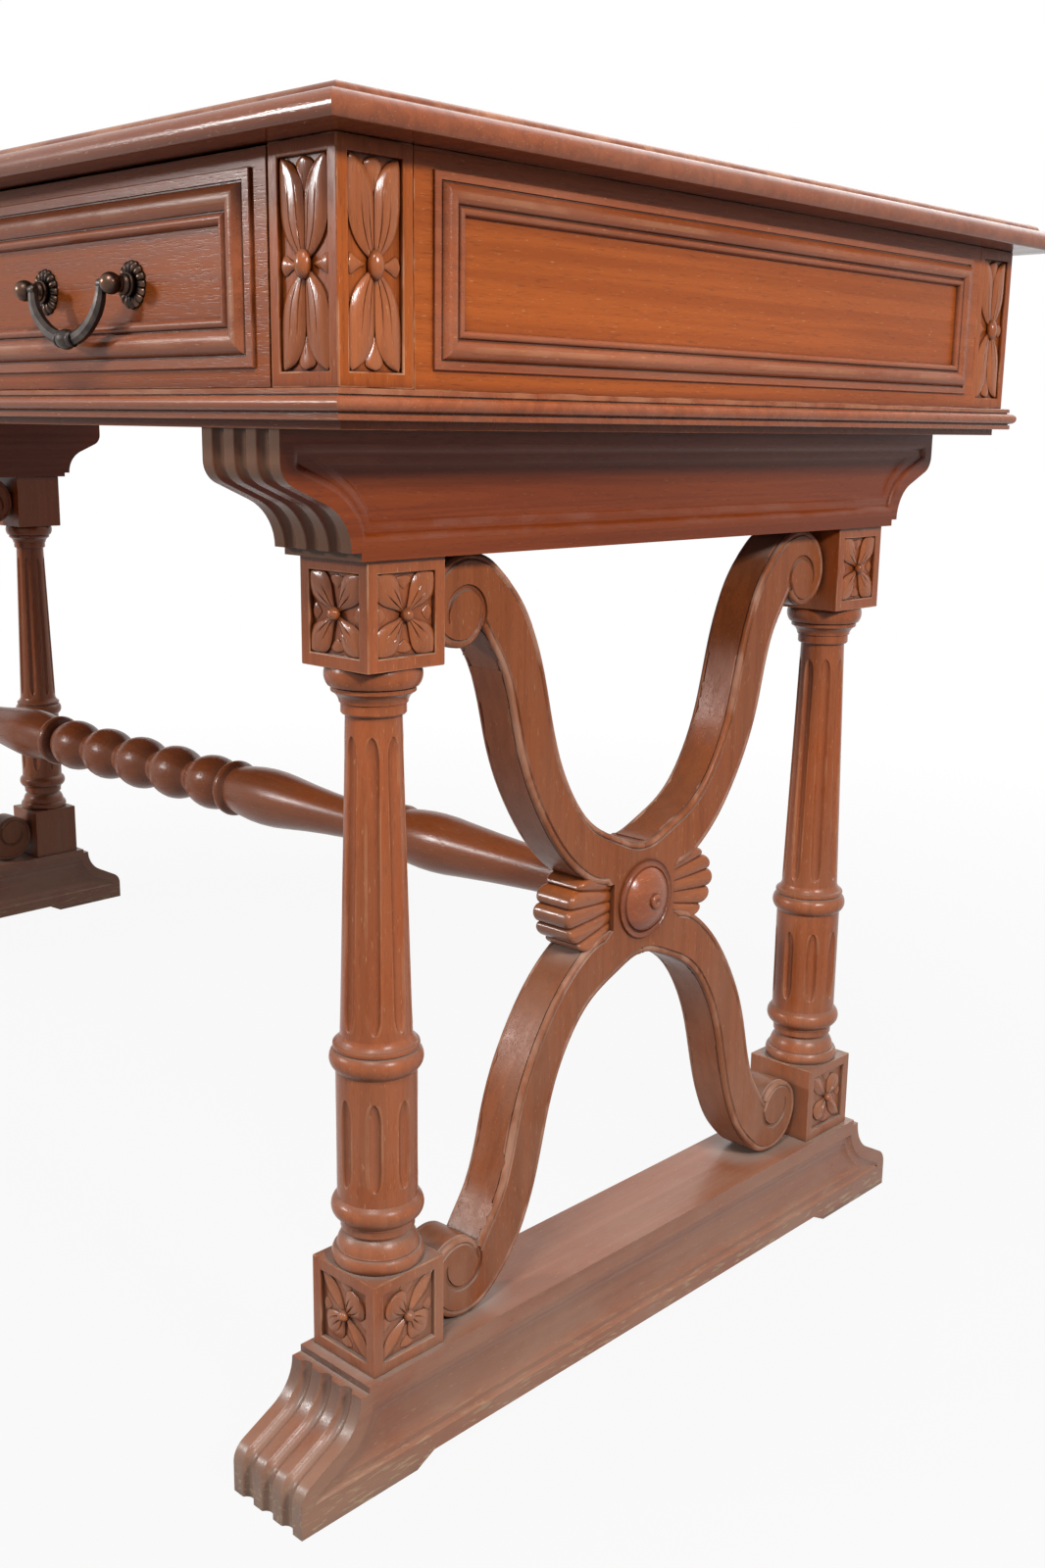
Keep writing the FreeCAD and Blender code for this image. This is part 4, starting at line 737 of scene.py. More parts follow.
@dataclass(frozen=True)
class LeafPanel:
    """The tall carving of a frieze post: four long leaves from an oval ball, with small fans between their tips."""

    leaf: CarvedLeaf = CarvedLeaf(
        left=((0.3, 3.0), (0.2, 9.0), (0.2, 15.0), (0.25, 21.0), (0.3, 27.0), (0.9, 33.0), (3.4, 38.5), (7.4, 43.0),
              (12.0, 45.8), (15.2, 46.6)),
        right=((2.8, 2.4), (8.2, 6.4), (12.6, 11.0), (15.6, 17.0), (16.9, 23.5), (17.3, 30.0), (17.3, 36.0),
               (17.2, 41.0), (16.9, 44.6), (15.9, 46.4)),
        root_height=1.7, crown_height=3.0, tip_height=1.6, edge_height=1.1, veins=(-0.5, 0.1),
        vein_end=0.62, vein_depth=0.9, vein_half=0.055, rows=24)
    fan: CarvedLeaf = even_leaf(
        ((0.3, 31.5), (1.6, 34.5), (3.6, 38.0), (5.6, 41.5), (5.8, 44.0), (3.4, 45.8), (0.4, 46.6)), True,
        root_height=0.9, crown_height=2.0, tip_height=1.2, edge_height=0.6, veins=(0.0,), vein_end=0.5,
        vein_depth=0.5, rows=13, crown_at=0.7)
    bud: CarvedLeaf = even_leaf(
        ((6.0, 0.6), (8.5, 1.6), (11.5, 3.0), (14.2, 4.4), (16.0, 4.2), (17.0, 1.6)), False,
        root_height=0.8, crown_height=1.7, tip_height=1.2, edge_height=0.5, rows=11, crown_at=0.7)
    ball: Triple = (4.7, 6.8, 3.7)
    ball_lift: float = 2.3

    def carve(self, work: BMesh, place: Matrix, width_share: float = 1.0) -> None:
        """Adds the carving to a mesh.

        Args:
            work: The mesh.
            place: Takes the panel's frame to the desk's.
            width_share: Narrows it for a narrower panel.
        """
        frame = place @ Matrix.Diagonal((width_share, 1, 1, 1))
        for quarter in ALL_QUARTERS:
            self.leaf.carve(work, frame, quarter)
        for sign in (1, -1):
            self.fan.carve(work, frame, (1, sign))
            self.bud.carve(work, frame, (sign, 1))
        add_ball(work, frame, self.ball, self.ball_lift)


@dataclass(frozen=True)
class BlockRosette:
    """The four-petalled flower cut into each face of a column's upper block."""

    petals: tuple[CarvedLeaf, ...] = (petal(
        (19.6, 21.4), 0.10,
        ((0.0, 1.3), (0.15, 3.2), (0.3, 5.6), (0.45, 7.6), (0.6, 8.5), (0.75, 7.8), (0.88, 5.2), (0.96, 2.4),
         (1.0, 0.3)),
        crown_height=3.1, tip_height=1.9, edge_height=1.2, veins=(-0.3, 0.3), vein_end=0.58, vein_half=0.07, rows=17),)
    fan: CarvedLeaf = even_leaf(
        ((0.6, 13.6), (2.4, 15.0), (4.4, 16.8), (5.2, 18.6), (4.2, 20.0), (1.6, 20.6)), True,
        root_height=0.4, crown_height=1.1, tip_height=0.8, edge_height=0.3, rows=11, crown_at=0.65)
    bud: CarvedLeaf = even_leaf(
        ((13.0, 0.6), (14.4, 2.2), (16.0, 3.8), (17.6, 4.4), (18.8, 3.4), (19.6, 1.2)), False,
        root_height=0.4, crown_height=1.1, tip_height=0.8, edge_height=0.3, rows=11, crown_at=0.65)
    ball: float = 3.7
    ball_lift: float = 2.6

    def carve(self, work: BMesh, place: Matrix) -> None:
        """Adds the flower to a mesh.

        Args:
            work: The mesh.
            place: Takes the panel's frame to the desk's.
        """
        for number, quarter in enumerate(ALL_QUARTERS):
            self.petals[number % len(self.petals)].carve(work, place, quarter)
        for sign in (1, -1):
            self.fan.carve(work, place, (1, sign))
            self.bud.carve(work, place, (sign, 1))
        add_ball(work, place, (self.ball, self.ball, self.ball), self.ball_lift)


UPPER_FLOWER = BlockRosette()
LOWER_FLOWER = BlockRosette(
    petals=(
        petal((13.6, 14.6), 0.10,
              ((0.0, 1.6), (0.15, 3.8), (0.3, 6.4), (0.45, 8.4), (0.6, 9.2), (0.75, 8.6), (0.88, 6.6), (0.97, 3.8),
               (1.0, 1.6)),
              crown_height=3.0, tip_height=1.9, edge_height=1.2, veins=(-0.46, 0.0, 0.46), vein_end=0.7, rows=17),
        petal((19.6, 21.0), 0.10,
              ((0.0, 1.2), (0.15, 2.8), (0.3, 4.3), (0.45, 5.2), (0.6, 5.2), (0.75, 4.3), (0.88, 2.6), (1.0, 0.2)),
              crown_height=3.2, tip_height=1.5, edge_height=0.8, ridge=0.8, rows=15),
    ),
    ball=3.4)


def arc_points(start: tuple[float, float], middle: tuple[float, float], end: tuple[float, float],
               count: int) -> list[tuple[float, float]]:
    """Places points on the arc through three points.

    Args:
        start: Where the arc begins.
        middle: A point that it goes through.
        end: Where it ends.
        count: How many points, with both ends.

    Returns:
        The points.
    """
    a, b, c = (complex(*p) for p in (start, middle, end))
    w = (c - a) / (b - a)
    centre = (b - a) * (w - abs(w) ** 2) / (2j * w.imag) + a
    spoke = a - centre
    turn = cmath.phase((c - centre) / spoke)
    if (cmath.phase((b - centre) / spoke) - turn / 2) * turn < 0 and abs(cmath.phase((b - centre) / spoke)) > abs(turn):
        turn -= math.copysign(2 * math.pi, turn)
    spots = [centre + spoke * cmath.exp(1j * turn * k / (count - 1)) for k in range(count)]
    return [(p.real, p.imag) for p in spots]


def turned(work: BMesh, line: Iterable[tuple[float, float]], steps: int) -> list[BMVert]:
    """Turns a line about the upright axis, as on a lathe.

    Args:
        work: The mesh that it is added to.
        line: Radius and height along the line, in millimetres.
        steps: Facets round the axis.

    Returns:
        The new vertices.
    """
    before = set(work.verts)
    verts = [work.verts.new((radius * MM, 0, height * MM)) for radius, height in line]
    edges = [work.edges.new(pair) for pair in zip(verts, verts[1:])]
    bmesh.ops.spin(work, geom=verts + edges, cent=(0, 0, 0), axis=(0, 0, 1), angle=2 * math.pi, steps=steps,
                   use_merge=True)
    new = [v for v in work.verts if v not in before]
    bmesh.ops.remove_doubles(work, verts=new, dist=0.002 * MM)
    return [v for v in work.verts if v not in before]


def face_frame(middle: Triple, across: Triple,
               out: Triple) -> Matrix:
    """Makes the frame of a panel on an upright face.

    Args:
        middle: The middle of the panel's sunk floor, in millimetres.
        across: The direction to the right.
        out: The direction out of the face.

    Returns:
        A matrix from across, up and out, in metres, to the desk's frame.
    """
    turn = Matrix((across, (0, 0, 1), out)).transposed().to_4x4()
    return Matrix.Translation(Vector(middle) * MM) @ turn


@dataclass(frozen=True)
class MitredMoulding:
    """Four lengths of moulding round a rectangle, mitred at its corners.

    The line is drawn round the section, as distance inwards from the rectangle's edge and height, in millimetres.
    """

    half_u: float
    half_v: float
    line: Pairs
    worn_from: float

    def build(self, work: BMesh, place: Matrix) -> None:
        """Adds the four lengths to a mesh.

        Args:
            work: The mesh.
            place: Takes the rectangle's frame, with heights along its third axis, to the desk's.
        """
        arris = face_layer(work, "arris")
        for turn in range(4):
            along, across = (self.half_v, self.half_u) if turn % 2 else (self.half_u, self.half_v)
            near = [work.verts.new(Vector((u - along, u - across, h)) * MM) for u, h in self.line]
            loop = [work.edges.new(pair) for pair in zip(near, near[1:] + near[:1])]
            made = bmesh.ops.extrude_edge_only(work, edges=loop)["geom"]
            far = [v for v in made if isinstance(v, BMVert)]
            for vert in far:
                vert.co.x = -vert.co.x
            for face in (f for f in made if isinstance(f, BMFace)):
                heights = [v.co.z for v in face.verts]
                level = max(heights) == min(heights)
                face[arris] = 0.7 if min(heights) / MM > self.worn_from and not level else 0.0
            ends = {e for v in near + far for e in v.link_edges if len(e.link_faces) == 1}
            bmesh.ops.holes_fill(work, edges=list(ends))
            stand = place @ Matrix.Rotation(turn * math.pi / 2, 4, "Z")
            bmesh.ops.transform(work, matrix=stand, verts=near + far)


def planted_line(width: float) -> Pairs:
    """Draws the moulding planted on panels: a broad fillet, a quirk, a large round and an inner bead.

    Args:
        width: From its outer to its inner edge.

    Returns:
        The line round its section.
    """
    w = width
    line = [(0.0, 0.0), (0.0, 1.4), (0.02 * w, 1.8), (0.21 * w, 1.8), (0.22 * w, 0.8), (0.25 * w, 0.8)]
    line += arc_points((0.26 * w, 1.5), (0.46 * w, 4.7), (0.74 * w, 2.7), 12) + [(0.75 * w, 1.7), (0.775 * w, 1.7)]
    line += arc_points((0.785 * w, 2.2), (0.885 * w, 3.5), (0.985 * w, 1.7), 9) + [(w, 1.0), (w, 0.0)]
    return tuple(line)


TOP_EDGE_LINE = (
    (70.0, 0.0), (2.2, 0.0), *arc_points((1.4, 0.5), (0.0, 5.2), (7.4, 12.9), 14), (8.0, 12.2), (8.8, 12.2),
    (9.2, 13.6), (12.2, 13.8), (12.3, 13.2), (12.9, 13.2),
    *arc_points((13.1, 14.2), (14.2, 16.9), (17.2, 18.0), 7), (70.0, 18.0))
BASE_LINE = (
    (3.9, 0.0), (-4.6, 0.0), (-5.0, 0.4), (-5.0, 2.9), (-4.0, 3.1), (-4.0, 3.6),
    *arc_points((-5.0, 3.9), (-8.3, 7.4), (-5.0, 10.9), 11), (-3.2, 11.1), (-3.2, 11.6), (-4.4, 11.8), (-4.4, 14.0),
    (-4.0, 14.4), (3.9, 14.4))


@dataclass
class DrawerCase:
    """The top, the frieze with its posts and panels, and the boards inside it."""

    body: str = "desk"
    # Each board's wood and grain, the width of its eased arrises, and how much lighter or darker it is.
    boards: dict[str, tuple[StainedMahogany, Grain, float, float]] = field(default_factory=lambda: {
        "top_board": (TOP_WOOD, Grain.LENGTHWISE, 0.6, 0.03),
        "corner_posts": (CASE_WOOD, Grain.UPRIGHT, 0.9, 0.0),
        "drawer_dividers": (CASE_WOOD, Grain.UPRIGHT, 0.9, 0.0),
        "end_panels": (CASE_WOOD, Grain.CROSSWISE, 0.5, 0.08),
        "bottom_board": (CASE_WOOD, Grain.LENGTHWISE, 1.0, -0.06),
    })
    inside: dict[str, Grain] = field(default_factory=lambda: {
        "cross_partitions": Grain.CROSSWISE,
        "centre_partition": Grain.LENGTHWISE,
        "drawer_guides": Grain.CROSSWISE,
        "top_glue_blocks": Grain.LENGTHWISE,
    })
    post_middle: tuple[float, float] = (632.0, 289.5)
    divider_x: float = 272.0
    floor_x: float = 653.9
    floor_y: float = 309.9
    panel_z: float = PANEL_Z
    end_share: float = 0.915
    half_top: tuple[float, float] = (682.5, 336.5)
    half_frieze: tuple[float, float] = (656.5, FRIEZE_Y)
    top_z: float = 738.0
    top_worn_from: float = 14.0
    base_z: float = 614.6
    base_worn_from: float = 11.0
    # Half sizes of the end panel's moulding and its width.
    end_moulding: Triple = (254.5, 45.0, 19.0)

    def build(self) -> None:
        """Builds the case's pieces."""
        for node, look in self.boards.items():
            dress_board(node, self.body, *look)
        for node, grain in self.inside.items():
            paint_node(node, INNER_WOOD.material(grain))
        self.run_mouldings()
        self.carve_posts()

    def run_mouldings(self) -> None:
        """Runs the mouldings of the top's edge, the case's base and the end panels."""
        level = Matrix.Translation((0, 0, self.top_z * MM))
        edge = MitredMoulding(*self.half_top, TOP_EDGE_LINE, self.top_worn_from)
        foot = Matrix.Translation((0, 0, self.base_z * MM))
        base = MitredMoulding(*self.half_frieze, BASE_LINE, self.base_worn_from)
        half_u, half_v, width = self.end_moulding
        panel = MitredMoulding(half_u, half_v, planted_line(width), PLANTED_WORN_FROM)
        ends = [face_frame((s * self.half_frieze[0], 0.0, self.panel_z), (0, s, 0), (s, 0, 0)) for s in (1, -1)]
        for node, moulding, places, finish, grain in (
                ("top_edge_moulding", edge, [level], TOP_WOOD, Grain.LENGTHWISE),
                ("base_moulding", base, [foot], EDGE_WOOD, Grain.LENGTHWISE),
                ("end_panel_mouldings", panel, ends, EDGE_WOOD, Grain.CROSSWISE)):
            work = bmesh.new()
            for place in places:
                moulding.build(work, place)
            face_outwards(work)
            make_piece(work, node + "_run", self.body, finish.material(grain), [node])

    def carve_posts(self) -> None:
        """Carves the leaves on the outward faces of the corner posts and the drawer dividers."""
        panel = LeafPanel()
        corner, between = bmesh.new(), bmesh.new()
        for side in (1, -1):
            for end in (1, -1):
                front = (end * self.post_middle[0], side * self.floor_y, self.panel_z)
                panel.carve(corner, face_frame(front, (-side, 0, 0), (0, side, 0)))
                head = (end * self.floor_x, side * self.post_middle[1], self.panel_z)
                panel.carve(corner, face_frame(head, (0, end, 0), (end, 0, 0)), self.end_share)
                middle = (end * self.divider_x, side * self.floor_y, self.panel_z)
                panel.carve(between, face_frame(middle, (-side, 0, 0), (0, side, 0)))
        for work, name in ((corner, "corner_post_leaves"), (between, "divider_leaves")):
            bmesh.ops.remove_doubles(work, verts=work.verts, dist=0.01 * MM)
            face_outwards(work)
            make_piece(work, name, self.body, CARVED_WOOD.material(Grain.UPRIGHT), crease=CARVED_CREASE)


@dataclass(frozen=True)
class BailHandle:
    """A cast bail handle: two posts with petalled plates and balls, and a faceted bail with a knop."""

    spacing: float = 84.4
    plate_radius: float = 12.1
    plate_height: float = 3.0
    collar_radius: float = 6.2
    petals: int = 16
    ball_radius: float = 5.6
    standoff: float = 13.0
    drop: float = 26.5
    # Half the bail's thickness at its middle, in its own plane and out of it, and how far it stands forward there.
    bail_half: tuple[float, float] = (3.9, 3.4)
    bail_forward: float = 0.6
    knop_forward: float = 1.6
    end_gap: float = 0.5
    pin_radius: float = 1.5
    arm: float = 33.7
    # Radius and height above the drawer front, from the plate's rim over the collar and neck to the ball.
    post_line: Pairs = (
        (0.0, 0.0), (12.1, 0.0), (12.1, 0.7), (11.6, 1.5), (10.4, 2.3), (9.0, 2.7), (7.6, 2.5), (6.5, 2.0), (6.1, 1.8),
        (6.2, 2.8), (6.1, 4.0), (5.6, 4.5), (5.2, 4.6), (5.3, 5.3), (5.2, 6.0), (4.7, 6.5), (4.3, 7.0), (4.1, 7.7),
        (4.1, 8.2), (4.2, 8.7))
    knop_line: Pairs = (
        (0.0, -7.2), (3.4, -7.0), (4.3, -6.3), (4.3, -5.4), (3.8, -4.8), (4.5, -3.6), (5.2, -1.8), (5.4, 0.0),
        (5.2, 1.8), (4.5, 3.6), (3.8, 4.8), (4.3, 5.4), (4.3, 6.3), (3.4, 7.0), (0.0, 7.2))

    def add_post(self, work: BMesh, place: Matrix) -> None:
        """Adds a post, without its shank.

        Args:
            work: The mesh.
            place: Takes the post's foot and axis to the desk's frame.
        """
        line = list(self.post_line)
        for number in range(12):
            turn = math.radians(-44 + 134 * number / 11)
            line.append((self.ball_radius * math.cos(turn), self.standoff + self.ball_radius * math.sin(turn)))
        verts = turned(work, line, 6 * self.petals)
        for vert in verts:
            reach = math.hypot(vert.co.x, vert.co.y) / MM
            height = vert.co.z / MM
            if reach > self.collar_radius and height < self.plate_height:
                ramp = (reach - self.collar_radius) / (self.plate_radius - self.collar_radius)
                crest = abs(math.cos(self.petals / 2 * math.atan2(vert.co.y, vert.co.x)))
                shrink = 1 - 0.09 * ramp**3 * (1 - crest) ** 2
                vert.co.x *= shrink
                vert.co.y *= shrink
                if height > 0.3:
                    vert.co.z -= 1.1 * MM * min(1.0, 2.2 * ramp) * (1 - crest) ** 1.5 * min(1.0, height / 1.5)
        bmesh.ops.transform(work, matrix=place, verts=verts)

    def bail_path(self) -> list[tuple[float, float]]:
        """Draws the bail's middle line: across, and up from its pins, in millimetres."""
        corner = 0.8 * self.drop
        sweep = ((self.arm - corner) ** 2 + self.drop**2 - corner**2) / (2 * (self.drop - corner))
        turn = math.atan2(sweep - self.drop, self.arm - corner)
        line = [(self.arm, 1.2)]
        for number in range(9):
            angle = turn * number / 8
            line.append((self.arm - corner + corner * math.cos(angle), -corner * math.sin(angle)))
        last = math.atan2(line[-1][1] - (sweep - self.drop), line[-1][0])
        for number in range(1, 7):
            angle = last + (-math.pi / 2 - last) * number / 6
            line.append((sweep * math.cos(angle), sweep - self.drop + sweep * math.sin(angle)))
        return line + [(-x, z) for x, z in reversed(line[:-1])]

    def add_bail(self, work: BMesh, place: Matrix) -> None:
        """Adds the bail.

        Args:
            work: The mesh.
            place: Takes across, up and out from the pins' line to the desk's frame.
        """
        line = [Vector((x, z, 0.0)) * MM for x, z in self.bail_path()]
        verts, loops = [], []
        for number, spot in enumerate(line):
            ahead = (line[min(number + 1, len(line) - 1)] - line[max(number - 1, 0)]).normalized()
            out = Vector((0, 0, 1))
            aside = ahead.cross(out)
            swell = 1 - 0.42 * abs(2 * number / (len(line) - 1) - 1) ** 3
            stand = Matrix((aside, out, -ahead)).transposed().to_4x4()
            shape = Matrix.Diagonal((*(half * swell * MM for half in self.bail_half), 1.0, 1.0))
            forward = out * self.bail_forward * (swell - 0.58) / 0.42 * MM
            stand = Matrix.Translation(spot + forward) @ stand @ shape @ Matrix.Rotation(math.pi / 8, 4, "Z")
            ring = bmesh.ops.create_circle(work, segments=8, radius=1.0, matrix=stand)["verts"]
            verts += ring
            loops.append(list({e for v in ring for e in v.link_edges}))
        for first, second in zip(loops, loops[1:]):
            bmesh.ops.bridge_loops(work, edges=first + second)
        bmesh.ops.holes_fill(work, edges=loops[0] + loops[-1])
        knop = turned(work, self.knop_line, 24)
        low = Matrix.Translation((0, -self.drop * MM, self.knop_forward * MM))
        bmesh.ops.transform(work, matrix=low @ Matrix.Rotation(math.pi / 2, 4, "Y"), verts=knop)
        pin_end = self.spacing / 2 - self.end_gap
        for sign in (1, -1):
            eye = turned(work, ((0.0, self.arm - 2.6), (1.9, self.arm - 2.6), (2.7, self.arm - 1.6), (2.8, self.arm),
                                (2.6, self.arm + 2.2), (self.pin_radius, self.arm + 2.25), (self.pin_radius, pin_end),
                                (0.0, pin_end)), 20)
            bmesh.ops.transform(work, matrix=Matrix.Rotation(sign * math.pi / 2, 4, "Y"), verts=eye)
            verts += eye
        bmesh.ops.transform(work, matrix=place, verts=verts + knop)


@dataclass
class Drawer:
    """One drawer with its front, box, planted moulding and bail handle."""

    place: str
    handle: BailHandle = BailHandle()
    front_y: float = FRIEZE_Y
    handle_z: float = 681.0
    panel_z: float = PANEL_Z
    outer_middle_x: float = 452.0
    outer_half_u: float = 143.5
    centre_half_u: float = 235.5
    moulding_half_v: float = 45.0
    moulding_width: float = 23.98

    @property
    def way(self) -> int:
        """-1 at the front, 1 at the back."""
        return -1 if self.place.startswith("front") else 1

    @property
    def middle_x(self) -> float:
        """Where the drawer's middle is along the desk."""
        return {"left": -1, "centre": 0, "right": 1}[self.place.split("_")[1]] * self.outer_middle_x

    def on_front(self, aside: float, height: float, forward: float = 0.0) -> Matrix:
        """Makes the frame of a place on the drawer's front.

        Args:
            aside: Distance from the drawer's middle along the desk, in millimetres.
            height: Height above the floor.
            forward: Distance in front of the drawer's front.

        Returns:
            A matrix from across, up and out, in metres, to the desk's frame.
        """
        middle = (self.middle_x + aside, self.way * (self.front_y + forward), height)
        return face_frame(middle, (-self.way, 0, 0), (0, self.way, 0))

    def build(self) -> None:
        """Builds the drawer's pieces."""
        body = f"{self.place}_drawer"
        dress_board(f"{self.place}_drawer_front", body, CASE_WOOD, Grain.LENGTHWISE, 0.6, -0.10)
        self.run_moulding(body)
        paint_node(f"{self.place}_drawer_box", INNER_WOOD.material(Grain.CROSSWISE))
        self.cast_posts(body)
        self.cast_bail()

    def run_moulding(self, body: str) -> None:
        """Runs the moulding planted on the drawer's front."""
        node = f"{self.place}_drawer_moulding"
        half_u = self.outer_half_u if self.middle_x else self.centre_half_u
        work = bmesh.new()
        moulding = MitredMoulding(half_u, self.moulding_half_v, planted_line(self.moulding_width), PLANTED_WORN_FROM)
        moulding.build(work, self.on_front(0.0, self.panel_z))
        face_outwards(work)
        make_piece(work, node + "_run", body, EDGE_WOOD.material(Grain.LENGTHWISE), [node], -0.04)

    def cast_posts(self, body: str) -> None:
        """Makes the posts: the solid's shanks and nuts inside the drawer, and new castings outside."""
        node = f"{self.place}_handle_posts"
        work = merged_copy(node)
        bmesh.ops.bisect_plane(work, geom=work.verts[:] + work.edges[:] + work.faces[:], clear_outer=True,
                               plane_co=(0, self.way * (self.front_y - 0.05) * MM, 0), plane_no=(0, self.way, 0))
        close_holes(work)
        for sign in (1, -1):
            self.handle.add_post(work, self.on_front(sign * self.handle.spacing / 2, self.handle_z))
        face_outwards(work)
        make_piece(work, node + "_cast", body, POST_BRONZE.material(), [node], crease=CARVED_CREASE)

    def cast_bail(self) -> None:
        """Makes the bail, hanging from the posts' balls."""
        node = f"{self.place}_bail"
        work = bmesh.new()
        self.handle.add_bail(work, self.on_front(0.0, self.handle_z, self.handle.standoff))
        face_outwards(work)
        make_piece(work, node + "_cast", node, BAIL_BRONZE.material(), [node], crease=30.0)


@dataclass(frozen=True)
class FlutedTurning:
    """The turned part of a column: base rings, a short fluted drum, a ring, a long fluted shaft and a cap."""

    length: float
    ring: float = 27.5
    drum: float = 23.8
    shaft_low: float = 21.0
    shaft_high: float = 15.9
    drum_z: tuple[float, float] = (42.0, 114.0)
    shaft_from: float = 141.5
    cap_height: float = 27.0
    flutes: int = 8
    flute_width: float = 8.0
    flute_depth: float = 2.6
    flute_tip: float = 13.0
    flute_columns: int = 5
    land_columns: int = 4

    @property
    def cap(self) -> float:
        """Where the cap begins."""
        return self.length - self.cap_height

    def flute_spans(self) -> Pairs:
        """The heights between which the drum's and the shaft's flutes run."""
        return (self.drum_z[0] + 8.5, self.drum_z[1] - 8.5), (self.shaft_from + 3.5, self.cap - 11.0)

    def line(self) -> list[tuple[float, float]]:
        """Draws the turning's outline, as radius and height above the lower block."""
        cap, ring = self.cap, self.ring
        line = [(0.0, -0.5), (ring - 1.3, -0.5)]
        line += arc_points((ring - 1.3, 0.0), (ring, 4.0), (ring - 1.5, 8.0), 8)
        line += [(24.6, 8.3), (24.6, 9.4)]
        line += arc_points((24.4, 9.6), (23.2, 14.0), (19.9, 18.6), 7)
        line += [(19.8, 20.3), (21.7, 20.8), (22.0, 21.4), (22.0, 25.4), (22.6, 25.8), (22.6, 27.4)]
        line += arc_points((23.6, 27.8), (ring, 34.3), (24.4, 40.6), 10)
        line += [(self.drum, 41.2)]
        rows = [self.drum_z[0]]
        for low, high in self.flute_spans():
            tips = [self.flute_tip * s for s in (0.0, 0.03, 0.1, 0.2, 0.35, 0.55, 0.8, 1.0)]
            rows += [low + t for t in tips] + [(low + high) / 2] + [high - t for t in reversed(tips)]
            if low < self.shaft_from:
                line += [(self.drum, z) for z in rows] + [(self.drum, self.drum_z[1]), (self.drum, 119.4)]
                line += arc_points((24.4, 120.2), (ring, 126.8), (24.8, 132.6), 10)
                line += [(24.0, 132.9), (25.0, 133.4), (25.4, 134.4), (25.2, 135.6), (24.4, 136.4), (23.6, 136.7)]
                line += arc_points((23.4, 137.0), (22.0, 138.8), (21.1, 141.0), 5)
                rows = [self.shaft_from]
        line += [(self.shaft_radius(z), z) for z in rows + [cap]]
        line += [(17.6, cap + 0.3), (18.3, cap + 1.2), (18.3, cap + 6.4), (19.2, cap + 6.9), (19.3, cap + 8.0)]
        line += arc_points((19.4, cap + 8.2), (20.6, cap + 10.6), (23.4, cap + 12.8), 6)
        line += [(23.7, cap + 13.2), (23.7, cap + 15.3), (22.9, cap + 15.6), (25.2, cap + 16.2)]
        line += arc_points((25.4, cap + 16.4), (ring - 0.2, cap + 21.6), (ring - 1.2, self.length), 8)
        return line + [(ring - 1.2, self.length + 0.5), (0.0, self.length + 0.5)]

    def shaft_radius(self, height: float) -> float:
        """Gives the tapering shaft's radius at a height."""
        share = (height - self.shaft_from) / (self.cap - self.shaft_from)
        return self.shaft_low + (self.shaft_high - self.shaft_low) * share

    def fullness(self, height: float) -> float:
        """Tells how full a flute is at a height: 0 outside it, growing from its rounded tips to 1."""
        for low, high in self.flute_spans():
            if low <= height <= high:
                share = min(1.0, min(height - low, high - height) / self.flute_tip)
                return math.sqrt(max(0.0, share * (2 - share)))
        return 0.0

    def build(self, work: BMesh, place: Matrix) -> None:
        """Adds the turning to a mesh.

        Args:
            work: The mesh.
            place: Takes the lower block's top middle to the desk's frame.
        """
        arris = face_layer(work, "arris")
        half_sector = self.flute_columns + self.land_columns
        steps = 2 * half_sector * self.flutes
        verts = turned(work, self.line(), steps)
        on_edge = set()
        for vert in verts:
            reach, height = math.hypot(vert.co.x, vert.co.y) / MM, vert.co.z / MM
            if reach < 1.0:
                continue
            number = round(math.atan2(vert.co.y, vert.co.x) / (2 * math.pi) * steps)
            sector = round(number / (2 * half_sector))
            column = number - sector * 2 * half_sector
            full = self.fullness(height)
            half = self.flute_width / 2 * max(full, 0.06 if self.drum_z[0] < height < self.cap else 1.0)
            edge = math.asin(min(0.9, half / reach))
            if abs(column) <= self.flute_columns:
                aside = edge * column / self.flute_columns
            else:
                share = (abs(column) - self.flute_columns) / self.land_columns
                aside = math.copysign(edge + (math.pi / self.flutes - edge) * share, column)
            depth = 0.0
            if full > 0 and abs(column) < self.flute_columns:
                sunk = self.flute_depth * full
                bend = (half**2 + sunk**2) / (2 * sunk)
                across = reach * math.sin(aside)
                depth = math.sqrt(max(0.0, bend**2 - across**2)) - (bend - sunk)
            turn = 2 * math.pi * sector / self.flutes + aside
            vert.co = Vector(((reach - depth) * math.cos(turn), (reach - depth) * math.sin(turn), height)) * MM
            if full > 0.3 and abs(column) == self.flute_columns:
                on_edge.add(vert)
        for face in {f for v in on_edge for f in v.link_faces}:
            face[arris] = 0.45
        bmesh.ops.transform(work, matrix=place, verts=verts)


